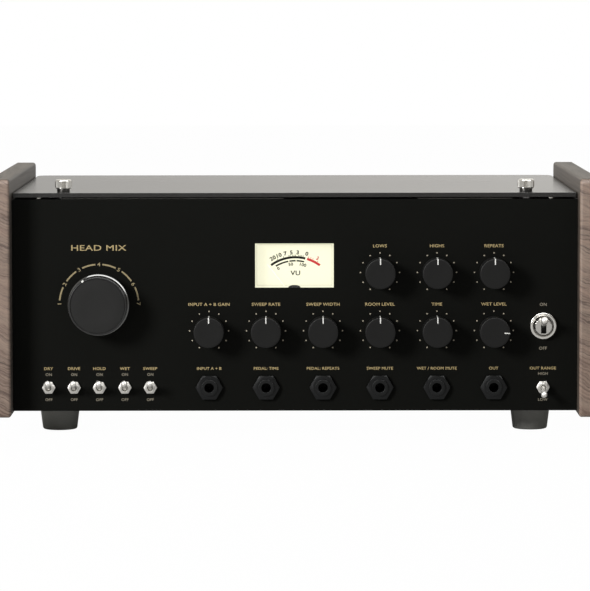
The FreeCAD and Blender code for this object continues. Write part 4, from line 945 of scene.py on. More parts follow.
def screw_tree():
    """Pan-head screws with a cross recess; each base point gives a direction and a head radius."""
    grower = Grower("screws", {"Head Height": "Float", "Recess Width": "Float", "Recess Depth": "Float",
                               "Shank Length": "Float"})
    height = grower.given("Head Height")
    width = grower.given("Recess Width")
    depth = grower.given("Recess Depth")
    shank_length = grower.given("Shank Length")
    rim = grower.make("GeometryNodeMeshCylinder", {}, {"Vertices": 24, "Radius": 1.0, "Depth": height * 0.5})
    rim = grower.raised(rim, height * 0.25)
    dome = grower.make("GeometryNodeMeshCone", {}, {"Vertices": 24, "Side Segments": 1, "Radius Top": 0.66,
                                                    "Radius Bottom": 1.0, "Depth": height * 0.5})
    dome = grower.raised(dome, height * 0.5)
    blades = []
    reach = 1.1
    for across, along in ((reach, width), (width, reach)):
        blade = grower.make("GeometryNodeMeshCube", {}, {"Size": grower.nodes.joined(across, along, depth * 2.0)})
        blades.append(grower.raised(blade, height))
    cut = grower.make("GeometryNodeMeshBoolean", {"operation": "DIFFERENCE", "solver": "EXACT"},
                      {"Mesh 1": dome, "Mesh 2": blades})
    shank = grower.make("GeometryNodeMeshCylinder", {}, {"Vertices": 16, "Radius": 0.5, "Depth": shank_length})
    shank = grower.raised(shank, shank_length * -0.5)
    whole = grower.make("GeometryNodeJoinGeometry", {}, {0: [cut, rim, shank]})
    return grower.finished(whole, grower.facing(), grower.attribute("size", "FLOAT"))


def spring_tree():
    """Round wire wound into a spring that stands on each base point."""
    grower = Grower("springs", {"Turns": "Float", "Radius": "Float", "Wire": "Float", "Height": "Float"})
    radius = grower.given("Radius")
    path = grower.make("GeometryNodeCurveSpiral", {}, {
        "Resolution": 28, "Rotations": grower.given("Turns"), "Start Radius": radius, "End Radius": radius,
        "Height": grower.given("Height")})
    wire = grower.make("GeometryNodeCurvePrimitiveCircle", {}, {"Resolution": 8, "Radius": grower.given("Wire")})
    coil = grower.make("GeometryNodeCurveToMesh", {}, {"Curve": path, "Profile Curve": wire, "Fill Caps": True})
    return grower.finished(coil)


def base_points(name, places, facings=None, sizes=None):
    """Mesh of single points, with each one's direction and size as attributes."""
    mesh = bpy.data.meshes.new(name)
    mesh.from_pydata([tuple(place) for place in places], [], [])
    facings = facings or [UP] * len(places)
    mesh.attributes.new("facing", "FLOAT_VECTOR", "POINT")
    mesh.attributes["facing"].data.foreach_set("vector", [part for facing in facings for part in facing])
    mesh.attributes.new("size", "FLOAT", "POINT")
    mesh.attributes["size"].data.foreach_set("value", sizes or [1.0] * len(places))
    return mesh


def grown(name, tree, base, inputs, body, look, *nodes, angle=SHARP):
    """Runs a geometry tree on a base mesh and keeps the result as a plain piece."""
    piece = bpy.data.objects.new(name, base)
    bpy.context.scene.collection.objects.link(piece)
    modifier = piece.modifiers.new(name, "NODES")
    modifier.node_group = tree
    values = dict(inputs, Material=finish(look))
    for item in tree.interface.items_tree:
        if item.item_type == "SOCKET" and item.in_out == "INPUT" and item.name in values:
            modifier[item.identifier] = values[item.name]
    graph = bpy.context.evaluated_depsgraph_get()
    result = bpy.data.meshes.new_from_object(piece.evaluated_get(graph), depsgraph=graph)
    piece.modifiers.clear()
    piece.data = smoothed(result, angle)
    return fitted(piece, body, look, *nodes)


def threads(name, tree, places, turns, radius, ridge, look):
    """Grows thread ridges on bushes that face the front; radius and ridge are in millimetres."""
    inputs = {"Turns": turns, "Pitch": bpy.context.scene.tape_echo_controls.thread_pitch, "Radius": radius * MM,
              "Ridge": ridge * MM}
    grown(name, tree, base_points(name, places, [FRONT] * len(places)), inputs, "chassis", look)


# ---- Operators ----
class TAPE_ECHO_OT_case(bpy.types.Operator):
    """Makes the wooden cheeks, the steel case and the rubber feet"""
    bl_idname = "tape_echo.case"
    bl_label = "Case"

    def execute(self, context):
        sizes = context.scene.tape_echo_case
        sheet = sizes.sheet_edge
        soften_all(("left_cheek", "walnut", 0.0), ("right_cheek", "walnut", 0.0), ("chassis_tray", "case_black", sheet),
                   ("rear_panel", "case_black", sheet), ("front_panel", "panel_black", sheet),
                   ("lid_seals", "foam", sheet * 2), ("lid_pillars", "turned_aluminium", sheet))
        self.feet(sizes)
        return {"FINISHED"}

    def feet(self, sizes):
        """Four tapered feet with a round recess."""
        low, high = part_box("rubber_feet")
        inset = FOOT_RADIUS * MM
        height = (high.z - low.z) / MM
        hole, bottom, recess = 2.2, 11.9, 5.6
        outside = [(FOOT_RADIUS, height), (bottom, 0.0), (recess, 0.0), (recess, FOOT_RECESS)]
        profile = [(hole, height)] + rounded(outside, sizes.foot_round / MM, 5) + [(hole, FOOT_RECESS)]
        profile = [(r * MM, z * MM) for r, z in profile]
        shape = bmesh.new()
        for x in (low.x + inset, high.x - inset):
            for y in (low.y + inset, high.y - inset):
                turn(shape, Vector((x, y, 0.0)), UP, profile, 72)
        placed("round_feet", shape, "chassis", "foot_rubber", "rubber_feet")


class TAPE_ECHO_OT_screws(bpy.types.Operator):
    """Makes the screws of the case, the flanges, the deck and the back"""
    bl_idname = "tape_echo.screws"
    bl_label = "Screws"

    def execute(self, context):
        self.places = []
        self.facings = []
        self.sizes = []
        tree = screw_tree()
        self.case_screws()
        self.grow("case_screw_heads", tree, "lever_nickel", 2.2, "case_screws")
        self.flange_screws()
        self.deck_screws()
        self.grow("deck_screws", tree, "zinc", 1.0)
        self.back_screws()
        self.grow("back_screws", tree, "zinc", 0.5)
        return {"FINISHED"}

    def add(self, x, y, z, facing, radius):
        """Notes one screw; the radius is in millimetres."""
        self.places.append((x, y, z))
        self.facings.append(facing)
        self.sizes.append(radius * MM)

    def grow(self, name, tree, look, shank, *nodes):
        """Makes a piece of the screws noted so far."""
        base = base_points(name, self.places, self.facings, self.sizes)
        grown(name, tree, base, {"Head Height": 0.58, "Recess Width": 0.24, "Recess Depth": 0.3,
                                 "Shank Length": shank}, "chassis", look, *nodes)
        self.places, self.facings, self.sizes = [], [], []

    def case_screws(self):
        """Screws of the rear plate, the feet and the cheeks."""
        low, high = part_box("rubber_feet")
        plate_z, cheek_x, cheek_z = 24.8, 192.0, 60.0
        plate_head, wood_head = 2.3, 3.8
        for side in (-1, 1):
            for x in (FOOT_X, 54.67):
                self.add(side * x * MM, REAR_Y, plate_z * MM, BACK, plate_head)
            for y in (low.y + FOOT_RADIUS * MM, high.y - FOOT_RADIUS * MM):
                self.add(side * FOOT_X * MM, y, FOOT_RECESS * MM, DOWN, wood_head)
            for depth in (40.0, 118.75, 197.5):
                self.add(side * cheek_x * MM, PANEL_Y + depth * MM, cheek_z * MM, Vector((-side, 0, 0)), wood_head)

    def flange_screws(self):
        """Two low round-headed screws, each with a socket, on the tray's front flanges under the lid."""
        shape = bmesh.new()
        head = rounded([(0.0, -3.0), (1.1, -3.0), (1.1, 0.0), (2.3, 0.0), (2.3, 1.3), (1.1, 1.3), (1.1, 0.6),
                        (0.0, 0.6)], 0.18, 3)
        across, behind = 175.5, 7.0
        for side in (-1, 1):
            place = Vector((side * across * MM, PANEL_Y + behind * MM, PANEL_TOP))
            turn(shape, place, UP, [(r * MM, z * MM) for r, z in head], 40)
        placed("flange_screw_heads", shape, "chassis", "nickel")

    def deck_screws(self):
        """Screws of the deck, the head bar, the motor and the bearing."""
        bar_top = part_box("head_block")[1]
        deck_head, bar_head, motor_head, bearing_head = 2.6, 2.0, 2.3, 1.2
        for x in (-186.0, 0.0, 186.0):
            for y in (PANEL_Y + 17.0 * MM, REAR_Y - 10.0 * MM):
                self.add(x * MM, y, DECK_TOP, UP, deck_head)
        for x in (-96.0, -66.0, -31.0, 4.0, 39.0):
            self.add(x * MM, bar_top.y - 4.5 * MM, bar_top.z, UP, bar_head)
        motor = middle("capstan_motor")
        for x, y in ((15.0, -12.0), (15.0, 12.0), (-15.0, -12.0)):
            self.add(motor.x + x * MM, motor.y + y * MM, DECK_TOP, UP, motor_head)
        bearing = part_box("capstan_bearing")[1]
        centre = middle("capstan_bearing")
        ring = 8.8 * MM
        for i in range(3):
            a = math.tau * i / 3 + 0.5
            self.add(centre.x + ring * math.cos(a), centre.y + ring * math.sin(a), bearing.z, UP, bearing_head)

    def back_screws(self):
        """Screws of the hinges' rear leaves and of the mains inlet."""
        leaf_head, inlet_head = 1.7, 1.9
        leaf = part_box("hinge_fixed_leaves")
        for x in (-120.0, 120.0):
            for dx in (-17.0, 0.0, 17.0):
                self.add((x + dx) * MM, REAR_Y + 1.2 * MM, leaf[0].z + 5.5 * MM, BACK, leaf_head)
        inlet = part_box("iec_inlet")
        centre = middle("iec_inlet")
        for dx in (-20.0, 20.0):
            self.add(centre.x + dx * MM, inlet[1].y, centre.z, BACK, inlet_head)


class TAPE_ECHO_OT_lid(bpy.types.Operator):
    """Makes the smoked lid, its hinges and its two knurled thumbscrews"""
    bl_idname = "tape_echo.lid"
    bl_label = "Lid"

    def execute(self, context):
        sizes = context.scene.tape_echo_case
        soften_all(("lid_panel", "smoked_acrylic", sizes.lid_edge), ("hinge_fixed_leaves", "zinc", sizes.sheet_edge),
                   ("hinge_lid_leaves", "zinc", sizes.sheet_edge))
        tree = knurl_tree()
        for side in ("left", "right"):
            self.thumbscrew(side, tree, context.scene.tape_echo_controls)
        return {"FINISHED"}

    def thumbscrew(self, side, tree, controls):
        """One screw with a plain collar, a knurled band and a turned top."""
        node = side + "_thumbscrew"
        low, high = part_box(node)
        centre = middle(node)
        base = Vector((centre.x, centre.y, LID_TOP))
        top = (high.z - LID_TOP) / MM
        bottom = (low.z - LID_TOP) / MM
        core, band = 5.35, 2.9
        profile = [(0, bottom), (2.0, bottom), (2.0, 0.1), (3.9, 0.1), (3.9, 2.0), (4.9, 2.1), (5.3, 2.3),
                   (5.3, 2.8), (core, band), (core, top - 1.1), (5.3, top - 1.0), (5.3, top - 0.6),
                   (4.7, top), (2.6, top), (2.3, top - 0.35), (0, top - 0.35)]
        turned(node + "_head", base, UP, rounded(profile, 0.15, 2), node + "_body", "nickel", node)
        collar = rounded([(3.7, 0.0), (4.4, 0.0), (4.4, 1.95), (3.7, 2.0)], 0.2, 3)
        turned(node + "_collar", base, UP, collar, node + "_body", "dark_nickel")
        height = (top - 1.2 - band) * MM
        points = base_points(node, [base + UP * ((2.95 * MM) + height / 2)])
        inputs = {"Ribs": controls.ribs, "Radius": core * MM, "Size": controls.rib_size, "Height": height}
        grown(node + "_knurls", tree, points, inputs, node + "_body", "nickel", angle=20.0)


class TAPE_ECHO_OT_lettering(bpy.types.Operator):
    """Prints the plain functional words, the arcs and numbers of the dial and the dots round the knobs"""
    bl_idname = "tape_echo.lettering"
    bl_label = "Lettering"

    def execute(self, context):
        sizes = context.scene.tape_echo_print
        self.words(sizes)
        self.dial(sizes)
        places = [at_panel(name) + FRONT * (sizes.ink * 0.3) for name in KNOBS]
        grown("knob_dots", dot_tree(), base_points("knob_dots", places),
              {"Dots": sizes.dots, "Ring Radius": sizes.dot_ring, "Dot Radius": sizes.dot_radius,
               "Thickness": sizes.ink, "Spread": math.radians(150.0)}, "chassis", "ivory_ink")
        return {"FINISHED"}

    def words(self, sizes):
        """Words over the knobs, the jacks and the toggles."""
        shape = bmesh.new()
        marks = bmesh.new()
        small = sizes.small_height
        over_knob, over_row = 18.2 * MM, 13.05 * MM

        def put(text, x, z, height=small, widen=1.14, weight=0.012):
            if text in ("ON", "OFF", "HIGH", "LOW"):
                letters(marks, text, x, z, height, PANEL_Y, sizes.ink, widen=1.04, weight=0.006)
            else:
                letters(shape, text, x, z, height, PANEL_Y, sizes.ink, widen, weight)

        for name in KNOBS:
            place = at_panel(name)
            put(KNOB_WORDS[name], place.x, place.z + over_knob)
        for text, x in zip(JACK_WORDS, JACK_XS):
            put(text, x, JACK_ROW + over_row, small * 0.92, widen=1.1)
        for text, x in zip(TOGGLE_WORDS, TOGGLE_XS):
            put(text, x, JACK_ROW + over_row, small * 0.92)
            put("ON", x, JACK_ROW + 8.95 * MM, small * 0.9)
            put("OFF", x, JACK_ROW - 8.35 * MM, small * 0.9)
        put("OUT RANGE", TOGGLE_XS[-1], JACK_ROW + over_row, small * 0.92)
        put("HIGH", TOGGLE_XS[-1], JACK_ROW + 9.3 * MM, small * 0.9)
        put("LOW", TOGGLE_XS[-1], JACK_ROW - 8.6 * MM, small * 0.9)
        put("ON", POWER.x, POWER.z + 14.6 * MM, small)
        put("OFF", POWER.x, POWER.z - 15.55 * MM, small)
        placed("panel_words", shape, "chassis", "soft_gold_ink")
        placed("switch_words", marks, "chassis", "grey_ink")
        title = bmesh.new()
        over_dial = 38.4 * MM
        letters(title, "HEAD MIX", DIAL.x, DIAL.z + over_dial, sizes.title_height, PANEL_Y, sizes.ink, widen=1.45,
                weight=0.008)
        placed("panel_title", title, "chassis", "gold_ink")

    def dial(self, sizes):
        """Arcs and the numbers 1 to 7 round the mode knob."""
        shape = bmesh.new()
        centre = (DIAL.x, DIAL.z)
        numbers, first, step, gap = 7, -90.0, 30.0, 5.0
        for i in range(numbers):
            angle = first + step * i
            letters(shape, str(i + 1), *centre, sizes.number_height, PANEL_Y, sizes.ink, widen=1.2, angle=angle,
                    radius=sizes.arc_radius)
            if i < numbers - 1:
                arc_band(shape, centre, sizes.arc_radius, sizes.arc_width, angle + gap, angle + step - gap, PANEL_Y,
                         sizes.ink)
        placed("dial_scale", shape, "chassis", "arc_ink")


class TAPE_ECHO_OT_knobs(bpy.types.Operator):
    """Makes the nine small knobs and the large mode knob, each with its line or mark"""
    bl_idname = "tape_echo.knobs"
    bl_label = "Knobs"

    def execute(self, context):
        sizes = context.scene.tape_echo_controls
        for name in KNOBS:
            self.small_knob(name, sizes)
        self.mode_knob(sizes)
        return {"FINISHED"}

    def small_knob(self, name, sizes):
        """A knob with a rounded edge and a slightly hollow face, and its inlaid line."""
        low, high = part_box(name)
        radius = (high.x - low.x) / 2 / MM
        reach = (PANEL_Y - low.y) / MM
        centre = at_panel(name)
        dish = sizes.knob_dish / MM
        edge = sizes.knob_round / MM
        inside = [(0, -8.0), (3.0, -8.0), (3.0, 7.2), (7.2, 7.2), (7.2, 1.2)]
        outside = rounded([(7.2, 1.2), (radius, 1.2), (radius, reach), (radius * 0.55, reach - dish * 0.5),
                           (0, reach - dish)], edge, 5)
        turned(name + "_cap", centre, FRONT, inside + outside, name + "_body", "knob_black", name, sides=96)
        self.pointer(name, centre, radius * MM, reach * MM, sizes)

    def pointer(self, name, centre, radius, reach, sizes):
        """The line along a small knob's side and the outer part of its face."""
        proud = 0.03 * MM
        sunk = 0.4 * MM
        ease = sizes.knob_round
        path = rounded([(1.4 * MM, radius + proud), (reach + proud, radius + proud),
                        (reach + proud - 0.02 * MM, radius - sizes.pointer_length)], ease, 5)
        inner = [(reach - sunk, radius - sizes.pointer_length), (reach - sunk - ease, radius - sunk - ease * 0.3),
                 (1.4 * MM, radius - sunk)]
        shape = bmesh.new()
        place = on_radius(centre, KNOB_REST.get(name, 0.0), sizes.pointer_width)
        prism(shape, path + inner, sizes.pointer_width, place)
        placed(name + "_line", shape, name + "_body", "white_line")

    def mode_knob(self, sizes):
        """The large knob: wider skirt, polished shoulder and rim, narrow groove and hollow face."""
        low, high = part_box("mode_knob")
        skirt = (high.x - low.x) / 2 / MM
        reach = (PANEL_Y - low.y) / MM
        radius = skirt - 1.0
        step = 11.0
        rim = radius - 0.8
        inside = [(0, -8.0), (3.0, -8.0), (3.0, 9.5), (9.5, 9.5), (9.5, 1.5)]
        outside = rounded([(9.5, 1.5), (skirt, 1.5), (skirt, step - 2.0), (skirt - 0.5, step - 1.7),
                           (radius - 0.1, step - 0.6), (radius, step - 0.1), (radius, reach - 1.3),
                           (rim, reach - 0.05), (rim - 0.2, reach - 0.05), (rim - 0.2, reach - 0.8),
                           (rim - 0.7, reach - 0.8), (rim - 0.7, reach - 0.4), (9.0, reach - 0.9),
                           (0, reach - 1.1)], 0.12, 3)
        turned("mode_knob_cap", DIAL, FRONT, inside + outside, "mode_knob_body", "dial_black", "mode_knob", sides=160)
        band = [(skirt, step - 2.0), (skirt, step - 0.54), (skirt - 0.7, step), (radius - 0.1, step),
                (radius - 0.1, step - 0.9), (skirt - 0.9, step - 2.0)]
        turned("mode_knob_shoulder", DIAL, FRONT, band, "mode_knob_body", "rim_black", sides=160, angle=25.0)
        crown = rounded([(radius, reach - 1.3), (radius, reach - 0.6), (rim + 0.2, reach - 0.06),
                         (rim - 0.1, reach - 0.06)], 0.4, 5)
        ring = crown + [(rim - 0.1, reach - 0.2), (radius - 0.3, reach - 1.3)]
        turned("mode_knob_rim", DIAL, FRONT, ring, "mode_knob_body", "dial_rim", sides=160, angle=50.0)
        self.mark(radius, reach, sizes)

    def mark(self, radius, reach, sizes):
        """The square mark that follows the rim's rounding."""
        shape = bmesh.new()
        inner, outer = radius - 0.8, radius + 0.35
        path = rounded([(reach - 4.0, outer), (reach, outer), (reach, inner)], 0.12, 3)
        outline = path + [(reach - 0.6, inner), (reach - 4.0, radius - 0.4)]
        outline = [(out * MM, up * MM) for out, up in outline]
        prism(shape, outline, sizes.mark_size, on_radius(DIAL, MARK_REST, sizes.mark_size))
        placed("mode_knob_mark", shape, "mode_knob_body", "white_line")


class TAPE_ECHO_OT_sockets(bpy.types.Operator):
    """Makes the jack sockets with their nuts and threads"""
    bl_idname = "tape_echo.sockets"
    bl_label = "Jack Sockets"

    def execute(self, context):
        sizes = context.scene.tape_echo_case
        soften_all(("jack_nuts", "jack_black", sizes.nut_edge), ("jack_sockets", "jack_black", sizes.nut_edge))
        places = [Vector((x, PANEL_Y - 3.25 * MM, JACK_ROW)) for x in JACK_XS]
        threads("jack_threads", thread_tree(), places, turns=2, radius=5.45, ridge=0.28, look="jack_black")
        return {"FINISHED"}


class TAPE_ECHO_OT_switches(bpy.types.Operator):
    """Makes the toggle switches and the mains switch with its dress ring"""
    bl_idname = "tape_echo.switches"
    bl_label = "Switches"

    def execute(self, context):
        sizes = context.scene.tape_echo_case
        nut = sizes.nut_edge
        soften_all(("panel_nuts", "satin_nickel", nut), ("toggle_switches", "bush_nickel", nut * 0.5),
                   ("power_switch_body", "switch_bush", nut), ("potentiometers", "zinc", nut),
                   ("rotary_switch", "zinc", nut))
        for name in LEVERS:
            tilt = -24.0 if name == "output_range_lever" else 24.0
            self.bat(name, pivot=4.6, span=11.6, neck=1.15, tip=2.1, ball=1.5, tilt=tilt)
        self.bat("power_lever", pivot=1.6, span=16.6, neck=1.4, tip=2.6, ball=1.45, tilt=20.0)
        self.dress_ring()
        tree = bpy.data.node_groups["threads"]
        places = [Vector((x, PANEL_Y - 2.3 * MM, JACK_ROW)) for x in TOGGLE_XS]
        threads("toggle_threads", tree, places, turns=6, radius=2.95, ridge=0.24, look="bush_nickel")
        power = [Vector((POWER.x, PANEL_Y - 3.0 * MM, POWER.z))]
        threads("power_threads", tree, power, turns=6, radius=5.62, ridge=0.26, look="nickel")
        return {"FINISHED"}

    def bat(self, name, pivot, span, neck, tip, ball, tilt):
        """A lever that swells from its neck to a round end."""
        a = math.radians(tilt)
        axis = Vector((0, -math.cos(a), math.sin(a)))
        place = at_panel(name)
        row = POWER.z if name == "power_lever" else JACK_ROW
        centre = Vector((place.x, PANEL_Y - pivot * MM, row))
        profile = [(0.0, -ball)]
        for i in range(1, 6):
            b = math.pi * i / 8
            profile.append((ball * math.sin(b), -ball * math.cos(b)))
        start = ball * 0.95
        profile.append((neck, start))
        end = span - tip
        for i in range(1, 9):
            t = i / 8
            profile.append((neck + (tip - neck) * (t * t * (3 - 2 * t)), start + (end - start) * t))
        for i in range(1, 8):
            b = math.pi / 2 * i / 8
            profile.append((tip * math.cos(b), end + tip * math.sin(b)))
        profile.append((0.0, span))
        turned(name + "_bat", centre, axis, profile, name + "_body", "lever_nickel", name, sides=36, angle=50.0)

    def dress_ring(self):
        """The polished ring: rounded outside, with a sunk step inside."""
        crown = rounded([(9.15, 0.0), (9.15, 3.4), (6.7, 3.4), (6.7, 1.2)], 0.9, 6)
        profile = [(5.75, 0.0)] + crown + [(5.75, 1.2)]
        turned("power_ring", POWER, FRONT, profile, "chassis", "switch_ring", "power_switch_ring", sides=96)


class TAPE_ECHO_OT_meter(bpy.types.Operator):
    """Makes the meter, whose card glows as painted light: case, card with its scale, needle and window"""
    bl_idname = "tape_echo.meter"
    bl_label = "Meter"

    def execute(self, context):
        soften_all(("meter_case", "moulding_black", 0.0), ("meter_scale_plate", "meter_card", 0.0),
                   ("meter_needle", "needle", 0.0), ("meter_window", "clear_window", 0.0))
        window_low, window_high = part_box("meter_window")
        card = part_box("meter_scale_plate")[0].y
        centre = middle("meter_window")
        self.scale(centre, card)
        self.frame_line(window_low, window_high, card)
        return {"FINISHED"}

    def scale(self, centre, card):
        """The two arcs with their numbers, and the unit."""
        x = centre.x + 0.6 * MM
        z = centre.z - 23.1 * MM
        ink, arc = METER_INK, 28.3 * MM
        black = bmesh.new()
        red = bmesh.new()
        arc_band(black, (x, z), arc, 1.55 * MM, -36.0, 14.0, card, ink)
        arc_band(red, (x, z), arc, 1.7 * MM, 16.5, 36.5, card, ink)
        for first, last in ((-31.0, -10.5), (-9.0, 0.5), (2.0, 13.5)):
            arc_band(black, (x, z), 25.9 * MM, 1.05 * MM, first, last, card, ink)
        numbers = (
            (black, 2.5, 1.1, 0.035, 31.7, {"20": -29.0, "10": -20.5, "7": -12.5, "5": -5.0, "3": 3.0, "0": 14.5}),
            (red, 2.3, 1.0, 0.03, 31.6, {"3": 29.0}),
            (black, 2.0, 1.1, 0.03, 23.7, {"0": -29.5, "50": -7.5, "100": 13.0}))
        for shape, height, widen, weight, radius, angles in numbers:
            for text, angle in angles.items():
                letters(shape, text, x, z, height * MM, card, ink, widen, weight, angle, radius * MM)
        ticks = ((black, 29.6, (-24.5, -16.0, -8.5, -6.8, -3.5, -1.6, 0.4, 4.5, 6.5, 8.5, 10.5)),
                 (red, 29.8, (18.0, 21.0, 24.0, 31.0)))
        for shape, radius, angles in ticks:
            for angle in angles:
                arc_band(shape, (x, z), radius * MM, 1.0 * MM, angle - 0.35, angle + 0.35, card, ink, 2)
        letters(black, "VU", x, centre.z - 5.6 * MM, 3.0 * MM, card, ink, widen=1.15, weight=0.02)
        placed("meter_scale_black", black, "chassis", "meter_black")
        placed("meter_scale_red", red, "chassis", "meter_red")

    def frame_line(self, low, high, card):
        """Thin line round the card's edge."""
        shape = bmesh.new()
        inset = 1.1 * MM
        thin = 0.18 * MM
        x0, x1 = low.x + inset, high.x - inset
        z0, z1 = low.z + inset, high.z - inset
        for start, end in ((z1 - thin, z1), (z0, z0 + thin)):
            bar(shape, x0, x1, start, end, card, METER_INK)
        for start, end in ((x0, x0 + thin), (x1 - thin, x1)):
            bar(shape, start, end, z0 + thin * 1.5, z1 - thin * 1.5, card, METER_INK)
        placed("meter_frame_line", shape, "chassis", "meter_grey")


class TAPE_ECHO_OT_deck(bpy.types.Operator):
    """Makes the tape deck: plate, tape loop, bin, guides, heads and their bar"""
    bl_idname = "tape_echo.deck"
    bl_label = "Tape Deck"

    def execute(self, context):
        sizes = context.scene.tape_echo_case
        sheet, moulded_edge = sizes.sheet_edge, sizes.moulded_edge
        soften_all(("deck_plate", "deck_aluminium", sheet), ("tape_loop", "tape_oxide", 0.0),
                   ("tape_bin", "moulding_black", moulded_edge), ("tape_guides", "turned_aluminium", sheet),
                   ("head_block", "milled_aluminium", moulded_edge), ("tape_heads", "head_metal", moulded_edge))
        return {"FINISHED"}


class TAPE_ECHO_OT_drive(bpy.types.Operator):
    """Makes the capstan drive and the pinch roller"""
    bl_idname = "tape_echo.drive"
    bl_label = "Capstan Drive"

    def execute(self, context):
        sizes = context.scene.tape_echo_case
        sheet, moulded_edge = sizes.sheet_edge, sizes.moulded_edge
        soften_all(("capstan_bearing", "brass", sheet), ("capstan_flywheel", "head_metal", moulded_edge),
                   ("capstan_motor", "zinc", moulded_edge), ("motor_pulley", "brass", sheet * 0.5),
                   ("drive_belt", "roller_rubber", sheet * 0.5), ("pinch_arm", "zinc", sheet),
                   ("pinch_roller", "roller_rubber", moulded_edge))
        self.spring()
        return {"FINISHED"}

    def spring(self):
        """Round wire spring round the foot of the arm's post."""
        low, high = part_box("pinch_spring")
        centre = middle("pinch_spring")
        wire = 0.4 * MM
        radius = (high.x - low.x) / 2 - wire
        base = base_points("spring", [Vector((centre.x, centre.y, low.z + wire))])
        inputs = {"Turns": 4.5, "Radius": radius, "Wire": wire, "Height": high.z - low.z - 2 * wire}
        grown("arm_spring", spring_tree(), base, inputs, "chassis", "zinc", "pinch_spring", angle=60.0)


class TAPE_ECHO_OT_electrics(bpy.types.Operator):
    """Makes the circuit board, the transformer and the mains inlet"""
    bl_idname = "tape_echo.electrics"
    bl_label = "Electrics"

    def execute(self, context):
        sizes = context.scene.tape_echo_case
        soften_all(("circuit_board", "circuit_board", sizes.sheet_edge),
                   ("mains_transformer", "laminated_core", sizes.moulded_edge),
                   ("iec_inlet", "moulding_black", sizes.moulded_edge))
        return {"FINISHED"}


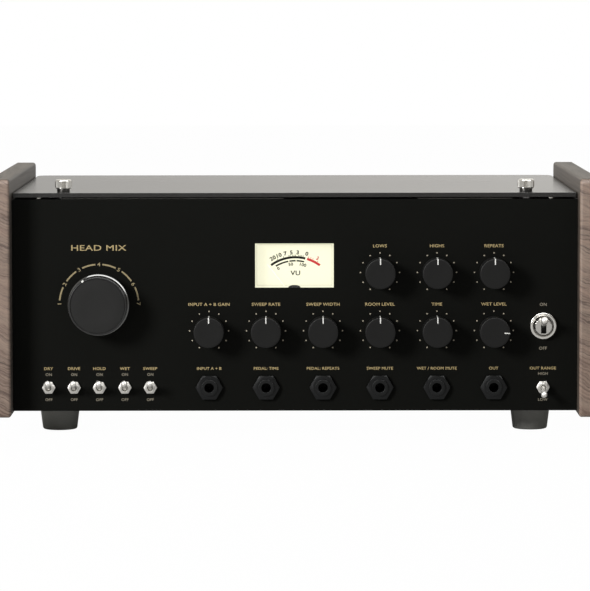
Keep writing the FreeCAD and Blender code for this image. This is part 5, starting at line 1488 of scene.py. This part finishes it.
class TAPE_ECHO_OT_stage(bpy.types.Operator):
    """Makes the floor, the light and the camera"""
    bl_idname = "tape_echo.stage"
    bl_label = "Stage"

    def execute(self, context):
        self.floor()
        stage = context.scene.tape_echo_stage
        self.light("key", KEY_PLACE, 0.0, stage.key_power, stage.key_size, stage.key_size)
        glint = self.light("glint", GLINT_PLACE, GLINT_PLACE[0], stage.glint_power, stage.glint_width,
                           stage.glint_depth)
        glint.visible_diffuse = False
        self.sky(context.scene, stage)
        self.camera(context.scene)
        context.scene.view_settings.view_transform = "Standard"
        return {"FINISHED"}

    def floor(self):
        """A large pale floor."""
        shape = bmesh.new()
        bmesh.ops.create_grid(shape, x_segments=4, y_segments=4, size=6.0)
        mesh = bpy.data.meshes.new("floor")
        shape.to_mesh(mesh)
        shape.free()
        mesh.materials.append(finish("floor"))
        floor = bpy.data.objects.new("floor", mesh)
        bpy.context.scene.collection.objects.link(floor)

    def light(self, name, place, aim_x, power, width, depth):
        """One soft rectangular light that faces the unit."""
        lamp = bpy.data.lights.new(name, "AREA")
        lamp.shape = "RECTANGLE"
        lamp.energy = power
        lamp.size = width
        lamp.size_y = depth
        light = bpy.data.objects.new(name, lamp)
        light.location = place
        light.visible_camera = False
        aim = Vector((aim_x, -0.1, 0.08))
        light.rotation_euler = (aim - Vector(place)).to_track_quat("-Z", "Y").to_euler()
        bpy.context.scene.collection.objects.link(light)
        return light

    def sky(self, scene, stage):
        """White to the camera; for light and reflections darker in front than behind."""
        world = bpy.data.worlds.new("sky")
        world.use_nodes = True
        world.node_tree.nodes.clear()
        nodes = Nodes(world.node_tree)
        x, y, z = nodes.split(nodes.make("ShaderNodeTexCoord", output="Generated"))
        share = (0.5 + 0.45 * y + 0.15 * z - 0.14 * x).clamped()
        level = stage.sky_front + (stage.sky_back - stage.sky_front) * (share ** 1.3)
        level = level + ((x * 5.0 + 0.5).clamped() - 0.5) * y.clamped() * stage.sky_side
        fill = nodes.make("ShaderNodeLightPath", output="Is Diffuse Ray") * (1.0 - stage.sky_fill)
        level = level * (1.0 - fill)
        camera = nodes.make("ShaderNodeLightPath", output="Is Camera Ray")
        strength = level + (1.0 - level) * camera
        tint = nodes.mix(camera, (1.0, 0.975, 0.925), (1.0, 1.0, 1.0))
        background = nodes.make("ShaderNodeBackground", {}, {"Color": tint, "Strength": strength})
        nodes.make("ShaderNodeOutputWorld", {}, {0: background})
        scene.world = world

    def camera(self, scene):
        """A long lens straight in front, a little above the unit."""
        lens = bpy.data.cameras.new("camera")
        lens.sensor_fit = "HORIZONTAL"
        lens.sensor_width = SENSOR
        lens.lens = LENS
        lens.clip_end = 50.0
        camera = bpy.data.objects.new("camera", lens)
        pitch, yaw, roll = (math.radians(angle) for angle in CAMERA_TURN)
        turned_view = (Matrix.Rotation(-yaw, 4, "Z") @ Matrix.Rotation(math.pi / 2 + pitch, 4, "X")
                       @ Matrix.Rotation(roll, 4, "Z"))
        camera.matrix_world = Matrix.Translation(CAMERA_PLACE) @ turned_view
        scene.collection.objects.link(camera)
        scene.camera = camera


OPERATORS = (TAPE_ECHO_OT_case, TAPE_ECHO_OT_screws, TAPE_ECHO_OT_lid, TAPE_ECHO_OT_lettering,
             TAPE_ECHO_OT_knobs, TAPE_ECHO_OT_sockets, TAPE_ECHO_OT_switches, TAPE_ECHO_OT_meter,
             TAPE_ECHO_OT_deck, TAPE_ECHO_OT_drive, TAPE_ECHO_OT_electrics, TAPE_ECHO_OT_stage)


class TAPE_ECHO_PT_parts(bpy.types.Panel):
    """Lists the sizes, colours and parts of the unit"""
    bl_label = "Tape Echo"
    bl_idname = "TAPE_ECHO_PT_parts"
    bl_space_type = "VIEW_3D"
    bl_region_type = "UI"
    bl_category = "Tape Echo"

    def draw(self, context):
        for group in GROUPS:
            box = self.layout.box()
            settings = getattr(context.scene, group)
            for name in settings.bl_rna.properties.keys():
                if name not in ("rna_type", "name"):
                    box.prop(settings, name)
        for operator in OPERATORS:
            self.layout.operator(operator.bl_idname)


GROUPS = {"tape_echo_print": PrintSizes, "tape_echo_controls": ControlSizes, "tape_echo_case": CaseSizes,
          "tape_echo_finishes": Finishes, "tape_echo_stage": StageSizes}


def register():
    """Registers the property groups, the operators and the panel."""
    for name, group in GROUPS.items():
        bpy.utils.register_class(group)
        setattr(bpy.types.Scene, name, PointerProperty(type=group))
    for each in OPERATORS + (TAPE_ECHO_PT_parts,):
        bpy.utils.register_class(each)


def unregister():
    """Takes everything out again."""
    for each in reversed(OPERATORS + (TAPE_ECHO_PT_parts,)):
        bpy.utils.unregister_class(each)
    for name, group in GROUPS.items():
        delattr(bpy.types.Scene, name)
        bpy.utils.unregister_class(group)


def main():
    """Builds the whole unit and its stage."""
    register()
    for operator in OPERATORS:
        getattr(bpy.ops.tape_echo, operator.bl_idname.split(".")[1])()


if __name__ == "__main__":
    main()
